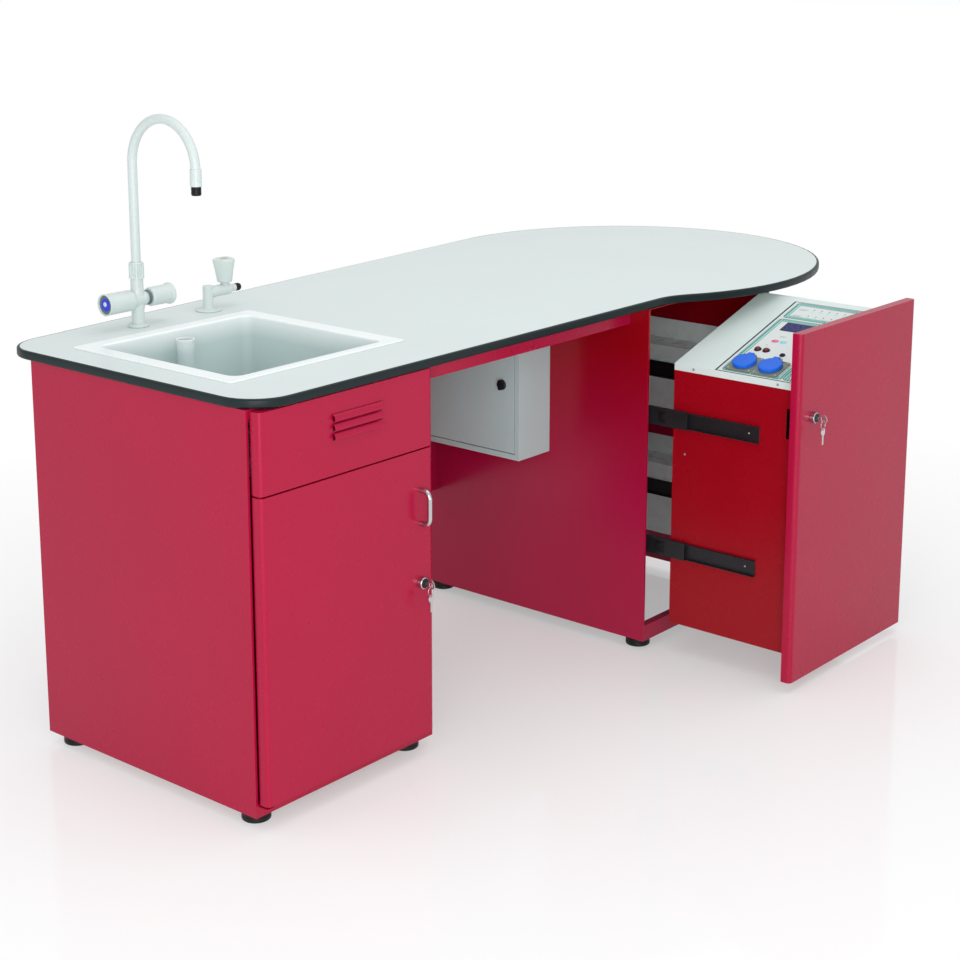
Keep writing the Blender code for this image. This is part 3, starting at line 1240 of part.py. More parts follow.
def carrier(level, height, slide):
    """A hat-section carrier on the cabinet's far wall, in one piece with its outer slide member."""
    wall = DRAWER_CABINET_RIGHT - SHEET - GAP
    face = DRAWER_CABINET_RIGHT - SHEET - CARRIER_DEPTH - SHEET / 2
    hat_top = height + CARRIER_ABOVE_SLIDE
    hat_bottom = hat_top - CARRIER_HAT_HEIGHT
    outline = [
        (wall, hat_top + CARRIER_FLANGE),
        (wall - SHEET, hat_top + CARRIER_FLANGE),
        (wall - SHEET, hat_top),
        (face, hat_top),
        (face, hat_bottom),
        (wall - SHEET, hat_bottom),
        (wall - SHEET, hat_bottom - CARRIER_FLANGE),
        (wall, hat_bottom - CARRIER_FLANGE),
        (wall, hat_bottom + SHEET),
        (face + SHEET, hat_bottom + SHEET),
        (face + SHEET, hat_top - SHEET),
        (wall, hat_top - SHEET),
    ]
    start = DRAWER_CABINET_FRONT + CARRIER_SETBACK
    shape = prism(outline, "Y", start, start + CARRIER_LENGTH)
    make(f"slide_outer_right_{level}", "box_grey", shape, [("join", slide)])


def tower():
    """The pull-out: front panel, body, sloped cover with its fittings, lock and power unit."""
    travel = carrier_empty("tower_travel", (TOWER_LEFT, FRONT_BACK, TOWER_FLOOR))
    shape, steps = folded_panel(FRONT_LEFT, FRONT_RIGHT, FRONT_FACE, CABINET_BASE, FRONT_TOP)
    steps.append(("cut", lock_hole(DRAWER_LOCK)))
    pivot = (FRONT_LEFT, FRONT_FACE, CABINET_BASE)
    make("drawer_front", "red_paint", shape, steps, pivot=pivot, parent=travel)
    tower_body(travel)
    control_cover(travel)
    power_unit(travel)
    cam_lock("drawer", DRAWER_LOCK, DRAWER_CAM_DEPTH, DRAWER_CAM_REACH, travel)
    slides(travel)


def cover_height(x):
    """Height of the cover's upper face over a place along its slope."""
    return COVER_EDGE + (x - TOWER_LEFT) * math.tan(COVER_SLOPE)


def tower_body(travel):
    """Sheet body open at its front and top, with a slot for the lock's cam in its left wall."""
    drop = SHEET / math.cos(COVER_SLOPE) + GAP
    step_x = TOWER_LEFT + SHEET + GAP
    right_top = COVER_RIDGE - SHEET - GAP
    outline = [
        (TOWER_LEFT, TOWER_FLOOR),
        (TOWER_RIGHT, TOWER_FLOOR),
        (TOWER_RIGHT, right_top),
        (COVER_RIDGE_X, right_top),
        (step_x, cover_height(step_x) - drop),
        (step_x, TOWER_LOW_EDGE),
        (TOWER_LEFT, TOWER_LOW_EDGE),
    ]
    shape = prism(outline, "Y", TOWER_START, TOWER_END)
    inside_low = (TOWER_LEFT + SHEET, TOWER_START - SHEET, TOWER_FLOOR + SHEET)
    inside_high = (TOWER_RIGHT - SHEET, TOWER_END - SHEET, TOP_HEIGHT)
    lock_x, lock_face, lock_z = DRAWER_LOCK
    slot_y = lock_face + DRAWER_CAM_DEPTH
    slot_low = (TOWER_LEFT - SHEET, slot_y - CAM_SLOT_MARGIN, lock_z - DRAWER_CAM_REACH - CAM_SLOT_MARGIN)
    slot_high = (TOWER_LEFT + 2 * SHEET, slot_y + CAM_THICKNESS + CAM_SLOT_MARGIN,
                 lock_z + CAM_WIDTH / 2 + CAM_SLOT_MARGIN)
    steps = [("cut", block(inside_low, inside_high)), ("cut", block(slot_low, slot_high))]
    pivot = (TOWER_LEFT, FRONT_BACK, TOWER_FLOOR)
    make("drawer_body", "red_paint", shape, steps, pivot=pivot, parent=travel)


def slope_frame(across, from_front):
    """Frame on the cover's slope: +X up the slope, +Y to the rear, +Z out of the cover."""
    x = TOWER_LEFT + across
    position = Vector((x, FRONT_BACK + from_front, cover_height(x)))
    return Matrix.Translation(position) @ Matrix.Rotation(-COVER_SLOPE, 4, "Y")


def on_slope(shape, frame):
    """A shape moved from the slope's own axes to the table's."""
    bmesh.ops.transform(shape, matrix=frame, verts=shape.verts[:])
    return shape


def socket_frames():
    """Frames of the two sockets."""
    return [slope_frame(SOCKET_ACROSS, SOCKET_FROM_FRONT + index * SOCKET_PITCH) for index in range(2)]


def button_frames():
    """Frames of the two push buttons."""
    return [slope_frame(BUTTON_ACROSS, BUTTON_FROM_FRONT + index * BUTTON_PITCH) for index in range(2)]


def control_cover(travel):
    """The bent cover on the tower, with holes for the sockets and the buttons."""
    under = SHEET / math.cos(COVER_SLOPE)
    inner_left = TOWER_LEFT + SHEET
    inner_ridge = COVER_RIDGE_X + (under - SHEET) / math.tan(COVER_SLOPE)
    outline = [
        (TOWER_LEFT, TOWER_LOW_EDGE + GAP),
        (inner_left, TOWER_LOW_EDGE + GAP),
        (inner_left, cover_height(inner_left) - under),
        (inner_ridge, COVER_RIDGE - SHEET),
        (TOWER_RIGHT, COVER_RIDGE - SHEET),
        (TOWER_RIGHT, COVER_RIDGE),
        (COVER_RIDGE_X, COVER_RIDGE),
        (TOWER_LEFT, COVER_EDGE),
    ]
    shape = prism(outline, "Y", TOWER_START, TOWER_END)
    steps = []
    reach = 3 * SHEET
    for frame in socket_frames():
        hole = cylinder(SOCKET_BODY_RADIUS + SOCKET_HOLE_CLEARANCE, -reach, reach, (0, 0, 0), sides=24)
        steps.append(("cut", on_slope(hole, frame)))
    for frame in button_frames():
        hole = cylinder(BUTTON_RADIUS + BUTTON_CLEARANCE, -reach, reach, (0, 0, 0))
        steps.append(("cut", on_slope(hole, frame)))
    pivot = (TOWER_LEFT, FRONT_BACK, COVER_EDGE)
    make("control_cover", "cover_grey", shape, steps, pivot=pivot, parent=travel)
    for index, frame in enumerate(socket_frames(), start=1):
        socket(index, frame, travel)
    for index, frame in enumerate(button_frames(), start=1):
        button(index, frame, travel)


def socket(index, frame, travel):
    """A flanged socket with a round well, and the sprung lid hinged on its up-slope side."""
    half = SOCKET_PLATE / 2
    plate_outline = rounded_rectangle((-half, -half), (half, half), SOCKET_PLATE_CORNER, 2)
    plate = prism(plate_outline, "Z", GAP, SOCKET_PLATE_HEIGHT)
    body = [
        (SOCKET_BODY_RADIUS, -SOCKET_BODY_DROP),
        (SOCKET_BODY_RADIUS, SOCKET_PLATE_HEIGHT / 2),
        (SOCKET_COLLAR_RADIUS, SOCKET_PLATE_HEIGHT / 2),
        (SOCKET_COLLAR_RADIUS, SOCKET_COLLAR_HEIGHT),
    ]
    well_floor = SOCKET_COLLAR_HEIGHT - SOCKET_WELL_DEPTH
    well = cylinder(SOCKET_WELL_RADIUS, well_floor, SOCKET_COLLAR_HEIGHT + SHEET, (0, 0, 0), sides=24)
    ear_inner = LID_TAB_HALF_WIDTH + EAR_GAP
    ear_outer = ear_inner + EAR_THICKNESS
    ear_top = LID_HINGE_HEIGHT + EAR_HALF_LENGTH
    steps = [("join", on_slope(turned(body, (0, 0, 0)), frame)), ("cut", on_slope(well, frame))]
    for side in (-1, 1):
        across = sorted((side * ear_inner, side * ear_outer))
        low = (LID_HINGE_OFFSET - EAR_HALF_LENGTH, across[0], SOCKET_PLATE_HEIGHT / 2)
        high = (LID_HINGE_OFFSET + EAR_HALF_LENGTH, across[1], ear_top)
        steps.append(("join", on_slope(block(low, high), frame)))
    hinge = (LID_HINGE_OFFSET, 0.0, LID_HINGE_HEIGHT)
    pin_hole = cylinder(LID_PIN_RADIUS + PIN_CLEARANCE, -2 * ear_outer, 2 * ear_outer, hinge, "Y", 12)
    steps.append(("cut", on_slope(pin_hole, frame)))
    centre = frame.translation
    make(f"socket_base_{index}", "socket_olive", on_slope(plate, frame), steps, pivot=centre, parent=travel)

    bottom = SOCKET_COLLAR_HEIGHT + GAP
    top = bottom + LID_THICKNESS
    lid = [
        (LID_RADIUS, bottom),
        (LID_RADIUS, bottom + LID_THICKNESS * 0.4),
        (LID_RADIUS * 0.94, bottom + LID_THICKNESS * 0.75),
        (LID_RADIUS * 0.76, bottom + LID_THICKNESS * 0.97),
        (LID_RADIUS * 0.05, top),
    ]
    tab = LID_TAB_HALF_WIDTH
    arm_top = bottom + LID_THICKNESS * 0.6
    arm = block((LID_RADIUS * 0.6, -tab, bottom), (LID_HINGE_OFFSET, tab, arm_top))
    shank_low = (LID_HINGE_OFFSET - LID_KNUCKLE_RADIUS * 0.8, -tab, LID_HINGE_HEIGHT)
    shank = block(shank_low, (LID_HINGE_OFFSET + LID_KNUCKLE_RADIUS * 0.8, tab, arm_top - SHEET / 10))
    knuckle = cylinder(LID_KNUCKLE_RADIUS, -tab, tab, hinge, "Y", 12)
    pin = cylinder(LID_PIN_RADIUS, -ear_outer, ear_outer, hinge, "Y", 12)
    steps = [("join", on_slope(piece, frame)) for piece in (arm, shank, knuckle, pin)]
    shape = on_slope(turned(lid, (0, 0, 0)), frame)
    make(f"socket_lid_{index}", "lid_blue", shape, steps, pivot=frame @ Vector(hinge), parent=travel)


def button(index, frame, travel):
    """A domed push button, held under the cover by its collar."""
    under = -SHEET - GAP
    profile = [
        (BUTTON_RADIUS, -BUTTON_BODY_DROP),
        (BUTTON_RADIUS, under - SHEET),
        (BUTTON_COLLAR, under - SHEET),
        (BUTTON_COLLAR, under),
        (BUTTON_RADIUS, under),
        (BUTTON_RADIUS, BUTTON_PROUD * 0.4),
        (BUTTON_RADIUS * 0.8, BUTTON_PROUD * 0.8),
        (BUTTON_RADIUS * 0.3, BUTTON_PROUD),
    ]
    shape = on_slope(turned(profile, (0, 0, 0), sides=16), frame)
    make(f"push_button_{index}", "button_red", shape, pivot=frame.translation, parent=travel)


def power_unit(travel):
    """The supply unit that stands on the tower's floor: a base plate, a case and a raised cover."""
    middle_x = (TOWER_LEFT + TOWER_RIGHT) / 2
    start = FRONT_BACK + POWER_UNIT_SETBACK
    bottom = TOWER_FLOOR + SHEET + GAP
    left, right = middle_x - POWER_UNIT_WIDTH / 2, middle_x + POWER_UNIT_WIDTH / 2
    plate_top = bottom + POWER_UNIT_PLATE
    end = start + POWER_UNIT_DEPTH
    plate = block((left - POWER_UNIT_FOOT, start, bottom), (right + POWER_UNIT_FOOT, end, plate_top))
    case_low = (left, start + SHEET, plate_top - SHEET / 2)
    case_high = (right, end - SHEET, bottom + POWER_UNIT_HEIGHT)
    steps = [("join", block(case_low, case_high))]
    make("power_unit", "zinc", plate, steps, pivot=(left, start, bottom), parent=travel)


def knee_space():
    """The front rail and the modesty panel between the cabinets."""
    left, right = SINK_CABINET_RIGHT + GAP, DRAWER_CABINET_LEFT - GAP
    top = CABINET_TOP
    front = FRONT_RAIL_SETBACK
    back = front + FRONT_RAIL_DEPTH
    bottom = TOP_HEIGHT - TOP_THICKNESS - FRONT_RAIL_HEIGHT
    rail = [
        (front, bottom),
        (back, bottom),
        (back, bottom + SHEET),
        (front + SHEET, bottom + SHEET),
        (front + SHEET, top - SHEET),
        (back, top - SHEET),
        (back, top),
        (front, top),
    ]
    make("front_rail", "red_paint", prism(rail, "X", left, right))

    front, back = MODESTY_FRONT, MODESTY_FRONT + MODESTY_FOLD
    bottom = TOP_HEIGHT - TOP_THICKNESS - MODESTY_HEIGHT
    panel = block((left, front, bottom), (right, back, top))
    hollow = block((left + SHEET, front + SHEET, bottom + SHEET), (right - SHEET, back + SHEET, top - SHEET))
    make("modesty_panel", "red_paint", panel, [("cut", hollow)])


def wall_box():
    """The box on the drawer cabinet's side: box, inset door, quarter-turn knob and breakers."""
    low = (BOX_FACE, BOX_SETBACK, BOX_BOTTOM)
    high = (BOX_BACK, BOX_FAR, BOX_TOP)
    inside = block([value + SHEET for value in low], [value - SHEET for value in high])
    rim = BOX_RIM - SHEET
    frame_low = (BOX_FACE + SHEET / 2, BOX_SETBACK + rim, BOX_BOTTOM + rim)
    frame_high = (BOX_FACE + BOX_RETURN, BOX_FAR - rim, BOX_TOP - rim)
    opening_low = (BOX_FACE - SHEET, BOX_SETBACK + BOX_RIM, BOX_BOTTOM + BOX_RIM)
    opening_high = (BOX_FACE + BOX_RETURN + SHEET, BOX_FAR - BOX_RIM, BOX_TOP - BOX_RIM)
    axis = (*BOX_HINGE, 0.0)
    hole = BOX_PIN_RADIUS + PIN_CLEARANCE
    top_hole = cylinder(hole, opening_high[2] - SHEET, opening_high[2] + 2 * SHEET, axis, sides=12)
    bottom_hole = cylinder(hole, opening_low[2] - 2 * SHEET, opening_low[2] + SHEET, axis, sides=12)
    steps = [
        ("cut", inside),
        ("join", block(frame_low, frame_high)),
        ("cut", block(opening_low, opening_high)),
        ("cut", top_hole),
        ("cut", bottom_hole),
    ]
    make("enclosure_box", "box_grey", block(low, high), steps)

    hinge = carrier_empty("enclosure_hinge", (*BOX_HINGE, BOX_DOOR_LOW[1]))
    low = (BOX_FACE, BOX_DOOR_LOW[0], BOX_DOOR_LOW[1])
    high = (BOX_FACE + BOX_DOOR_DEPTH, BOX_DOOR_HIGH[0], BOX_DOOR_HIGH[1])
    hollow_low = [value + SHEET for value in low]
    hollow_high = (high[0] + SHEET, high[1] - SHEET, high[2] - SHEET)
    top_pin = cylinder(BOX_PIN_RADIUS, high[2] - 2 * SHEET, high[2] + BOX_PIN_REACH, axis, sides=12)
    bottom_pin = cylinder(BOX_PIN_RADIUS, low[2] - BOX_PIN_REACH, low[2] + 2 * SHEET, axis, sides=12)
    knob_line = (0.0, *BOX_KNOB)
    shaft_hole = BOX_SHAFT_RADIUS + BOX_SHAFT_CLEARANCE
    steps = [
        ("cut", block(hollow_low, hollow_high)),
        ("join", top_pin),
        ("join", bottom_pin),
        ("cut", cylinder(shaft_hole, BOX_FACE - SHEET, BOX_FACE + 2 * SHEET, knob_line, "X")),
    ]
    pivot = (*BOX_HINGE, BOX_DOOR_LOW[1])
    make("enclosure_door", "box_grey", block(low, high), steps, pivot=pivot, parent=hinge)
    enclosure_knob(hinge)
    breakers()


def enclosure_knob(hinge):
    """The quarter-turn knob with a grip bar, its shaft and the cam behind the door."""
    face = -GAP
    edge = BOX_KNOB_HEIGHT / 8
    cam_start = BOX_RETURN + SHEET / 2
    cam_end = cam_start + SHEET
    profile = [
        (BOX_SHAFT_RADIUS, cam_start + SHEET / 2),
        (BOX_SHAFT_RADIUS, face),
        (BOX_KNOB_RADIUS, face),
        (BOX_KNOB_RADIUS, face - BOX_KNOB_HEIGHT / 2 + edge),
        (BOX_KNOB_RADIUS - edge, face - BOX_KNOB_HEIGHT / 2),
    ]
    centre = (BOX_FACE, *BOX_KNOB)
    y, z = BOX_KNOB
    grip = BOX_KNOB_RADIUS * 0.3
    bar_low = (BOX_FACE - BOX_KNOB_HEIGHT, y - grip, z - BOX_KNOB_RADIUS * 0.9)
    bar_high = (BOX_FACE - BOX_KNOB_HEIGHT / 4, y + grip, z + BOX_KNOB_RADIUS * 0.9)
    cam_low = (BOX_FACE + cam_start, y - BOX_SHAFT_RADIUS * 1.2, z - BOX_CAM_LENGTH)
    cam_high = (BOX_FACE + cam_end, y + BOX_SHAFT_RADIUS * 1.2, z + BOX_SHAFT_RADIUS * 1.2)
    steps = [("join", block(bar_low, bar_high)), ("join", block(cam_low, cam_high))]
    shape = turned(profile, centre, "X", 20)
    make("enclosure_knob", "black_plastic", shape, steps, pivot=centre, parent=hinge)


def breakers():
    """A row of breakers on the wall box's back, with grooves between them."""
    back = BOX_BACK - SHEET - GAP
    middle = (BOX_BOTTOM + BOX_TOP) / 2
    body, nose = BREAKER_BODY_HEIGHT / 2, BREAKER_NOSE_HEIGHT / 2

    def section(y, inset):
        face = back - BREAKER_BODY_DEPTH + inset
        front = face - BREAKER_NOSE_DEPTH
        outline = [
            (back, middle - body),
            (back, middle + body),
            (face, middle + body - inset),
            (face, middle + nose - inset),
            (front, middle + nose - inset),
            (front, middle - nose + inset),
            (face, middle - nose + inset),
            (face, middle - body + inset),
        ]
        return [on_axis("Y", point, y) for point in outline]

    start = (BOX_SETBACK + BOX_FAR - BREAKER_COUNT * BREAKER_PITCH) / 2
    rings = []
    for number in range(BREAKER_COUNT):
        low = start + number * BREAKER_PITCH
        high = low + BREAKER_PITCH
        rings += [section(low, BREAKER_GROOVE), section(low + BREAKER_GROOVE, 0.0)]
        rings += [section(high - BREAKER_GROOVE, 0.0)]
    rings.append(section(start + BREAKER_COUNT * BREAKER_PITCH, BREAKER_GROOVE))
    make("breaker_row", "white_plastic", loft(rings))


def centre_on_floor():
    """Move the whole table so that its visible box is centred over the origin in plan."""
    bpy.context.view_layer.update()
    graph = bpy.context.evaluated_depsgraph_get()
    low = Vector((math.inf, math.inf))
    high = Vector((-math.inf, -math.inf))
    for item in bpy.context.scene.objects:
        if item.type != "MESH" or item.hide_render:
            continue
        evaluated = item.evaluated_get(graph)
        for vertex in evaluated.data.vertices:
            point = evaluated.matrix_world @ vertex.co
            low = Vector((min(low.x, point.x), min(low.y, point.y)))
            high = Vector((max(high.x, point.x), max(high.y, point.y)))
    shift = (low + high) / -2
    for item in bpy.context.scene.objects:
        if not item.parent:
            item.location += Vector((shift.x, shift.y, 0.0))
    bpy.context.view_layer.update()


def build():
    """Clear the scene and model the table."""
    for item in list(bpy.data.objects):
        bpy.data.objects.remove(item, do_unlink=True)
    worktop()
    sink()
    main_tap()
    gas_tap()
    sink_cabinet()
    vent_panel()
    door()
    drawer_cabinet()
    tower()
    knee_space()
    wall_box()
    centre_on_floor()


build()
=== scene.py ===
"""Looks of the laboratory table: materials, finer shapes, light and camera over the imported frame.

Lengths are in metres, in the frame's own axes: X along the table, Y from front to rear, Z up.
"""
import json
import math

import bmesh
import bpy
from mathutils import Matrix, Vector

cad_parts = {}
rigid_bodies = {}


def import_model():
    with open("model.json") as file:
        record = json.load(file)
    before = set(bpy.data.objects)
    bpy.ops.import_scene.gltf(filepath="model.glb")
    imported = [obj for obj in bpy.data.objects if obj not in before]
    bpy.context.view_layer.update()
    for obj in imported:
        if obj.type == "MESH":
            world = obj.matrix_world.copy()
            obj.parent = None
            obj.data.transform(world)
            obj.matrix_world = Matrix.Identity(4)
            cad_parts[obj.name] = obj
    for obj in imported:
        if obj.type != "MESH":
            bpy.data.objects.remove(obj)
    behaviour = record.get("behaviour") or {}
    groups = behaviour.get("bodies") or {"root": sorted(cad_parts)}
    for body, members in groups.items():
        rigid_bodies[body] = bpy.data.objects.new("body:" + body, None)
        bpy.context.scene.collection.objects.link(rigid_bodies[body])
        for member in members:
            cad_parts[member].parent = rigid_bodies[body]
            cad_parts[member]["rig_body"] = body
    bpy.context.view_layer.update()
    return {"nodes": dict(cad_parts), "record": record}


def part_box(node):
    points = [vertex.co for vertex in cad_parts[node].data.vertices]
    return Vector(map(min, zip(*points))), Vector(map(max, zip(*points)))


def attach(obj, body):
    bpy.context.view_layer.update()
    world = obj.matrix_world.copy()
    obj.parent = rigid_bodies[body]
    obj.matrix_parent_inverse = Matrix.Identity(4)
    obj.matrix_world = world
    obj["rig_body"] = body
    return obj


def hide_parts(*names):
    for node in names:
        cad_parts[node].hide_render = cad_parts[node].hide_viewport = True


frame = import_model()
scene = bpy.context.scene
scene.view_settings.view_transform = "Standard"

MM = 0.001
GAP = 0.3 * MM
SHEET = 2 * MM
FULL_TURN = 2 * math.pi
SLOT_OF = {item["node"]: item["material_slot"] for item in frame["record"]["subparts"]}


# Materials

class Graph:
    """One material's node tree, with short calls for adding and joining nodes."""

    def __init__(self, name):
        self.material = bpy.data.materials.new(name)
        self.material.use_nodes = True
        self.tree = self.material.node_tree
        self.shader = self.tree.nodes["Principled BSDF"]
        self.place = self.add("ShaderNodeTexCoord").outputs["Object"]

    def add(self, kind, inputs=None, **settings):
        item = self.tree.nodes.new(kind)
        for key, value in settings.items():
            setattr(item, key, value)
        for key, value in (inputs or {}).items():
            self.put(item.inputs[key], value)
        return item

    def put(self, socket, value):
        if isinstance(value, bpy.types.NodeSocket):
            self.tree.links.new(value, socket)
        else:
            socket.default_value = value

    def noise(self, size, detail=2.0, stretch=None):
        place = self.place
        if stretch:
            place = self.add("ShaderNodeMapping", {"Vector": place, "Scale": stretch}).outputs[0]
        inputs = {"Vector": place, "Scale": 1 / size, "Detail": detail}
        return self.add("ShaderNodeTexNoise", inputs).outputs["Fac"]

    def span(self, value, low, high, start=0.3, end=0.7):
        inputs = {"Value": value, "From Min": start, "From Max": end, "To Min": low, "To Max": high}
        return self.add("ShaderNodeMapRange", inputs).outputs["Result"]

    def mix(self, share, first, second):
        return self.add("ShaderNodeMix", {0: share, 6: first, 7: second}, data_type="RGBA").outputs[2]

    def times(self, first, second):
        return self.add("ShaderNodeMath", {0: first, 1: second}, operation="MULTIPLY").outputs[0]


def shade(colour, share):
    """A colour made darker or lighter, as a node's four numbers."""
    return (*[min(1.0, part * share) for part in colour], 1.0)


def surface(name, colour, roughness, metallic=0.0, specular=0.5, mottle=0.05, mottle_size=0.16,
            grain=0.15, grain_size=1.5 * MM, polish=0.05, stretch=None, worn=None, wear=0.6,
            stains=None, deep=None):
    """A finish with mottled colour, uneven polish, a fine grain, rounded edges lighter from scuffing and as a
    painted highlight, and a tone blended in low down as painted light (shade in the sink, floor reflection on
    the knee-space red).
    """
    graph = Graph(name)
    shader = graph.shader
    shader.inputs["Metallic"].default_value = metallic
    shader.inputs["Specular IOR Level"].default_value = specular

    cloudy = graph.span(graph.noise(mottle_size, 5.0), 0.0, 1.0)
    tint = graph.mix(cloudy, shade(colour, 1 - mottle), shade(colour, 1 + mottle))
    if stains:
        spots = graph.span(graph.noise(mottle_size / 12, 3.0), 0.0, 0.5, 0.55, 0.75)
        tint = graph.mix(spots, tint, (*stains, 1.0))
    # The colour blended in low down is painted light: shade in the sink bowl, a floor reflection on the
    # knee-space red.
    if deep:
        top, bottom, painted_low_colour = deep
        height = graph.add("ShaderNodeSeparateXYZ", {0: graph.place}).outputs["Z"]
        tint = graph.mix(graph.span(height, 1.0, 0.0, bottom, top), tint, (*painted_low_colour, 1.0))
    # Flagged rounded edges take a lighter colour: real scuffing and a painted highlight together.
    if worn:
        edge = graph.add("ShaderNodeAttribute", attribute_name="edge").outputs["Fac"]
        wear_and_highlight_patches = graph.span(graph.noise(7 * MM, 4.0), 0.0, wear, 0.45, 0.72)
        tint = graph.mix(graph.times(edge, wear_and_highlight_patches), tint, (*worn, 1.0))
    graph.put(shader.inputs["Base Color"], tint)

    rubbed = graph.noise(mottle_size / 4, 4.0, stretch)
    graph.put(shader.inputs["Roughness"], graph.span(rubbed, roughness - polish, roughness + polish))
    relief = {"Height": graph.noise(grain_size, 2.0, stretch), "Strength": grain, "Distance": grain_size / 5}
    graph.put(shader.inputs["Normal"], graph.add("ShaderNodeBump", relief).outputs["Normal"])
    return graph.material


def hatched(name, ground, line, pitch):
    """A printed band with slanting lines."""
    graph = Graph(name)
    inputs = {"Vector": graph.place, "Scale": FULL_TURN / (20 * pitch), "Distortion": 0.0}
    waves = graph.add("ShaderNodeTexWave", inputs, wave_type="BANDS", bands_direction="Y")
    stripes = graph.span(waves.outputs["Fac"], 0.0, 1.0, 0.50, 0.72)
    faded = graph.span(graph.noise(20 * MM, 3.0), 0.85, 1.0)
    tint = graph.mix(graph.times(stripes, faded), (*ground, 1.0), (*line, 1.0))
    graph.put(graph.shader.inputs["Base Color"], tint)
    graph.put(graph.shader.inputs["Roughness"], graph.span(graph.noise(30 * MM), 0.3, 0.4))
    relief = {"Height": waves.outputs["Fac"], "Strength": 0.1, "Distance": 0.05 * MM}
    graph.put(graph.shader.inputs["Normal"], graph.add("ShaderNodeBump", relief).outputs["Normal"])
    return graph.material


def brushed(size):
    """Stretch of a grain that runs along Z."""
    return (1.0, 1.0, size)


PAINTS = {}


def add_paint(name, *tone, **detail):
    """Make a finish and keep it under its name."""
    PAINTS[name] = surface(name, *tone, **detail)


add_paint("laminate", (0.66, 0.735, 0.71), 0.34, mottle=0.012, mottle_size=0.4, grain=0.03,
          grain_size=2 * MM, polish=0.03, stains=(0.64, 0.71, 0.69))
add_paint("edge_band", (0.008, 0.017, 0.018), 0.40, specular=0.22, mottle=0.15, grain=0.12,
          worn=(0.07, 0.10, 0.10), wear=0.3)
add_paint("red_paint", (0.375, 0.003, 0.038), 0.27, specular=0.26, mottle=0.03, mottle_size=0.3,
          grain=0.012, grain_size=3 * MM, polish=0.02, worn=(0.52, 0.006, 0.016), wear=0.9)
# A darker copy of the red paint, on the same powder coat: painted shade on the drawer tower.
add_paint("red_tower_painted_shade", (0.30, 0.0015, 0.008), 0.27, specular=0.24, mottle=0.03, mottle_size=0.3,
          grain=0.012, grain_size=3 * MM, polish=0.02, worn=(0.45, 0.004, 0.01), wear=0.9)
# A darker copy of the red paint as painted shade, turning lighter and pinker low down as a painted reflection
# of the floor.
add_paint("red_knee_painted_shade_reflection", (0.27, 0.001, 0.006), 0.24, specular=0.28, mottle=0.03, mottle_size=0.3,
          grain=0.012, grain_size=3 * MM, polish=0.02, worn=(0.45, 0.004, 0.01), wear=0.9,
          deep=(0.72, 0.36, (0.37, 0.004, 0.046)))
# Near-black red for the plates behind the louvres: painted shadow.
add_paint("painted_shadow_red", (0.055, 0.0, 0.002), 0.6, specular=0.1, mottle=0.1, grain=0.1)
# The bowl grows darker and greyer below its rim: painted shade inside the bowl, while the rim keeps the
# white.
add_paint("sink_white", (0.86, 0.90, 0.89), 0.30, specular=0.4, mottle=0.01, grain=0.015, polish=0.02,
          deep=(0.833, 0.79, (0.57, 0.67, 0.66)))
# Dark grey for the ring at the tap's neck and the discs in the knob ends: painted shade.
add_paint("painted_shade_grey", (0.10, 0.15, 0.155), 0.4, mottle=0.1, mottle_size=0.02, grain=0.1)
add_paint("tap_white", (0.60, 0.67, 0.65), 0.32, specular=0.45, mottle=0.02, grain=0.015,
          grain_size=2 * MM, polish=0.02, worn=(0.76, 0.81, 0.79), wear=0.3)
add_paint("black_plastic", (0.006, 0.006, 0.007), 0.45, specular=0.3, mottle=0.2, grain=0.2,
          grain_size=0.7 * MM, worn=(0.03, 0.03, 0.03), wear=0.4)
add_paint("white_plastic", (0.66, 0.68, 0.66), 0.45, mottle=0.03, grain=0.2, worn=(0.75, 0.76, 0.74),
          wear=0.4)
add_paint("chrome", (0.55, 0.56, 0.58), 0.12, metallic=1.0, mottle=0.03, grain=0.03, polish=0.05,
          worn=(0.60, 0.60, 0.61), wear=0.4)
add_paint("key_steel", (0.58, 0.59, 0.60), 0.28, metallic=1.0, mottle=0.06, grain=0.2,
          grain_size=0.5 * MM, polish=0.08, stretch=brushed(0.15), worn=(0.75, 0.75, 0.75))
add_paint("slide_steel", (0.022, 0.023, 0.026), 0.34, metallic=0.4, mottle=0.2, grain=0.1, polish=0.08,
          stretch=(1.0, 0.1, 1.0), worn=(0.10, 0.10, 0.11), wear=0.7)
add_paint("box_grey", (0.48, 0.60, 0.60), 0.36, mottle=0.03, grain=0.04, grain_size=2 * MM,
          worn=(0.55, 0.60, 0.58), wear=0.4)
# A lighter copy of box_grey for the slide carriers: painted light inside the drawer cabinet.
add_paint("grey_carrier_painted_light", (0.80, 0.90, 0.89), 0.28, mottle=0.03, grain=0.01, grain_size=3 * MM,
          polish=0.02, worn=(0.72, 0.78, 0.76), wear=0.4)
add_paint("cover_grey", (0.66, 0.75, 0.725), 0.36, mottle=0.02, grain=0.03, grain_size=2 * MM,
          worn=(0.70, 0.74, 0.72), wear=0.4)
add_paint("socket_olive", (0.17, 0.20, 0.15), 0.46, mottle=0.08, mottle_size=0.03, grain=0.3,
          grain_size=0.8 * MM, worn=(0.34, 0.35, 0.30), wear=0.6)
add_paint("lid_blue", (0.012, 0.13, 0.70), 0.38, specular=0.25, mottle=0.05, mottle_size=0.04, grain=0.2,
          grain_size=0.8 * MM, worn=(0.05, 0.22, 0.80), wear=0.5)
add_paint("button_red", (0.11, 0.003, 0.014), 0.20, specular=0.4, mottle=0.06, mottle_size=0.02,
          worn=(0.16, 0.01, 0.02), wear=0.4)
add_paint("zinc", (0.46, 0.48, 0.49), 0.40, metallic=1.0, mottle=0.12, mottle_size=0.03, grain=0.1,
          polish=0.1, worn=(0.6, 0.6, 0.6))
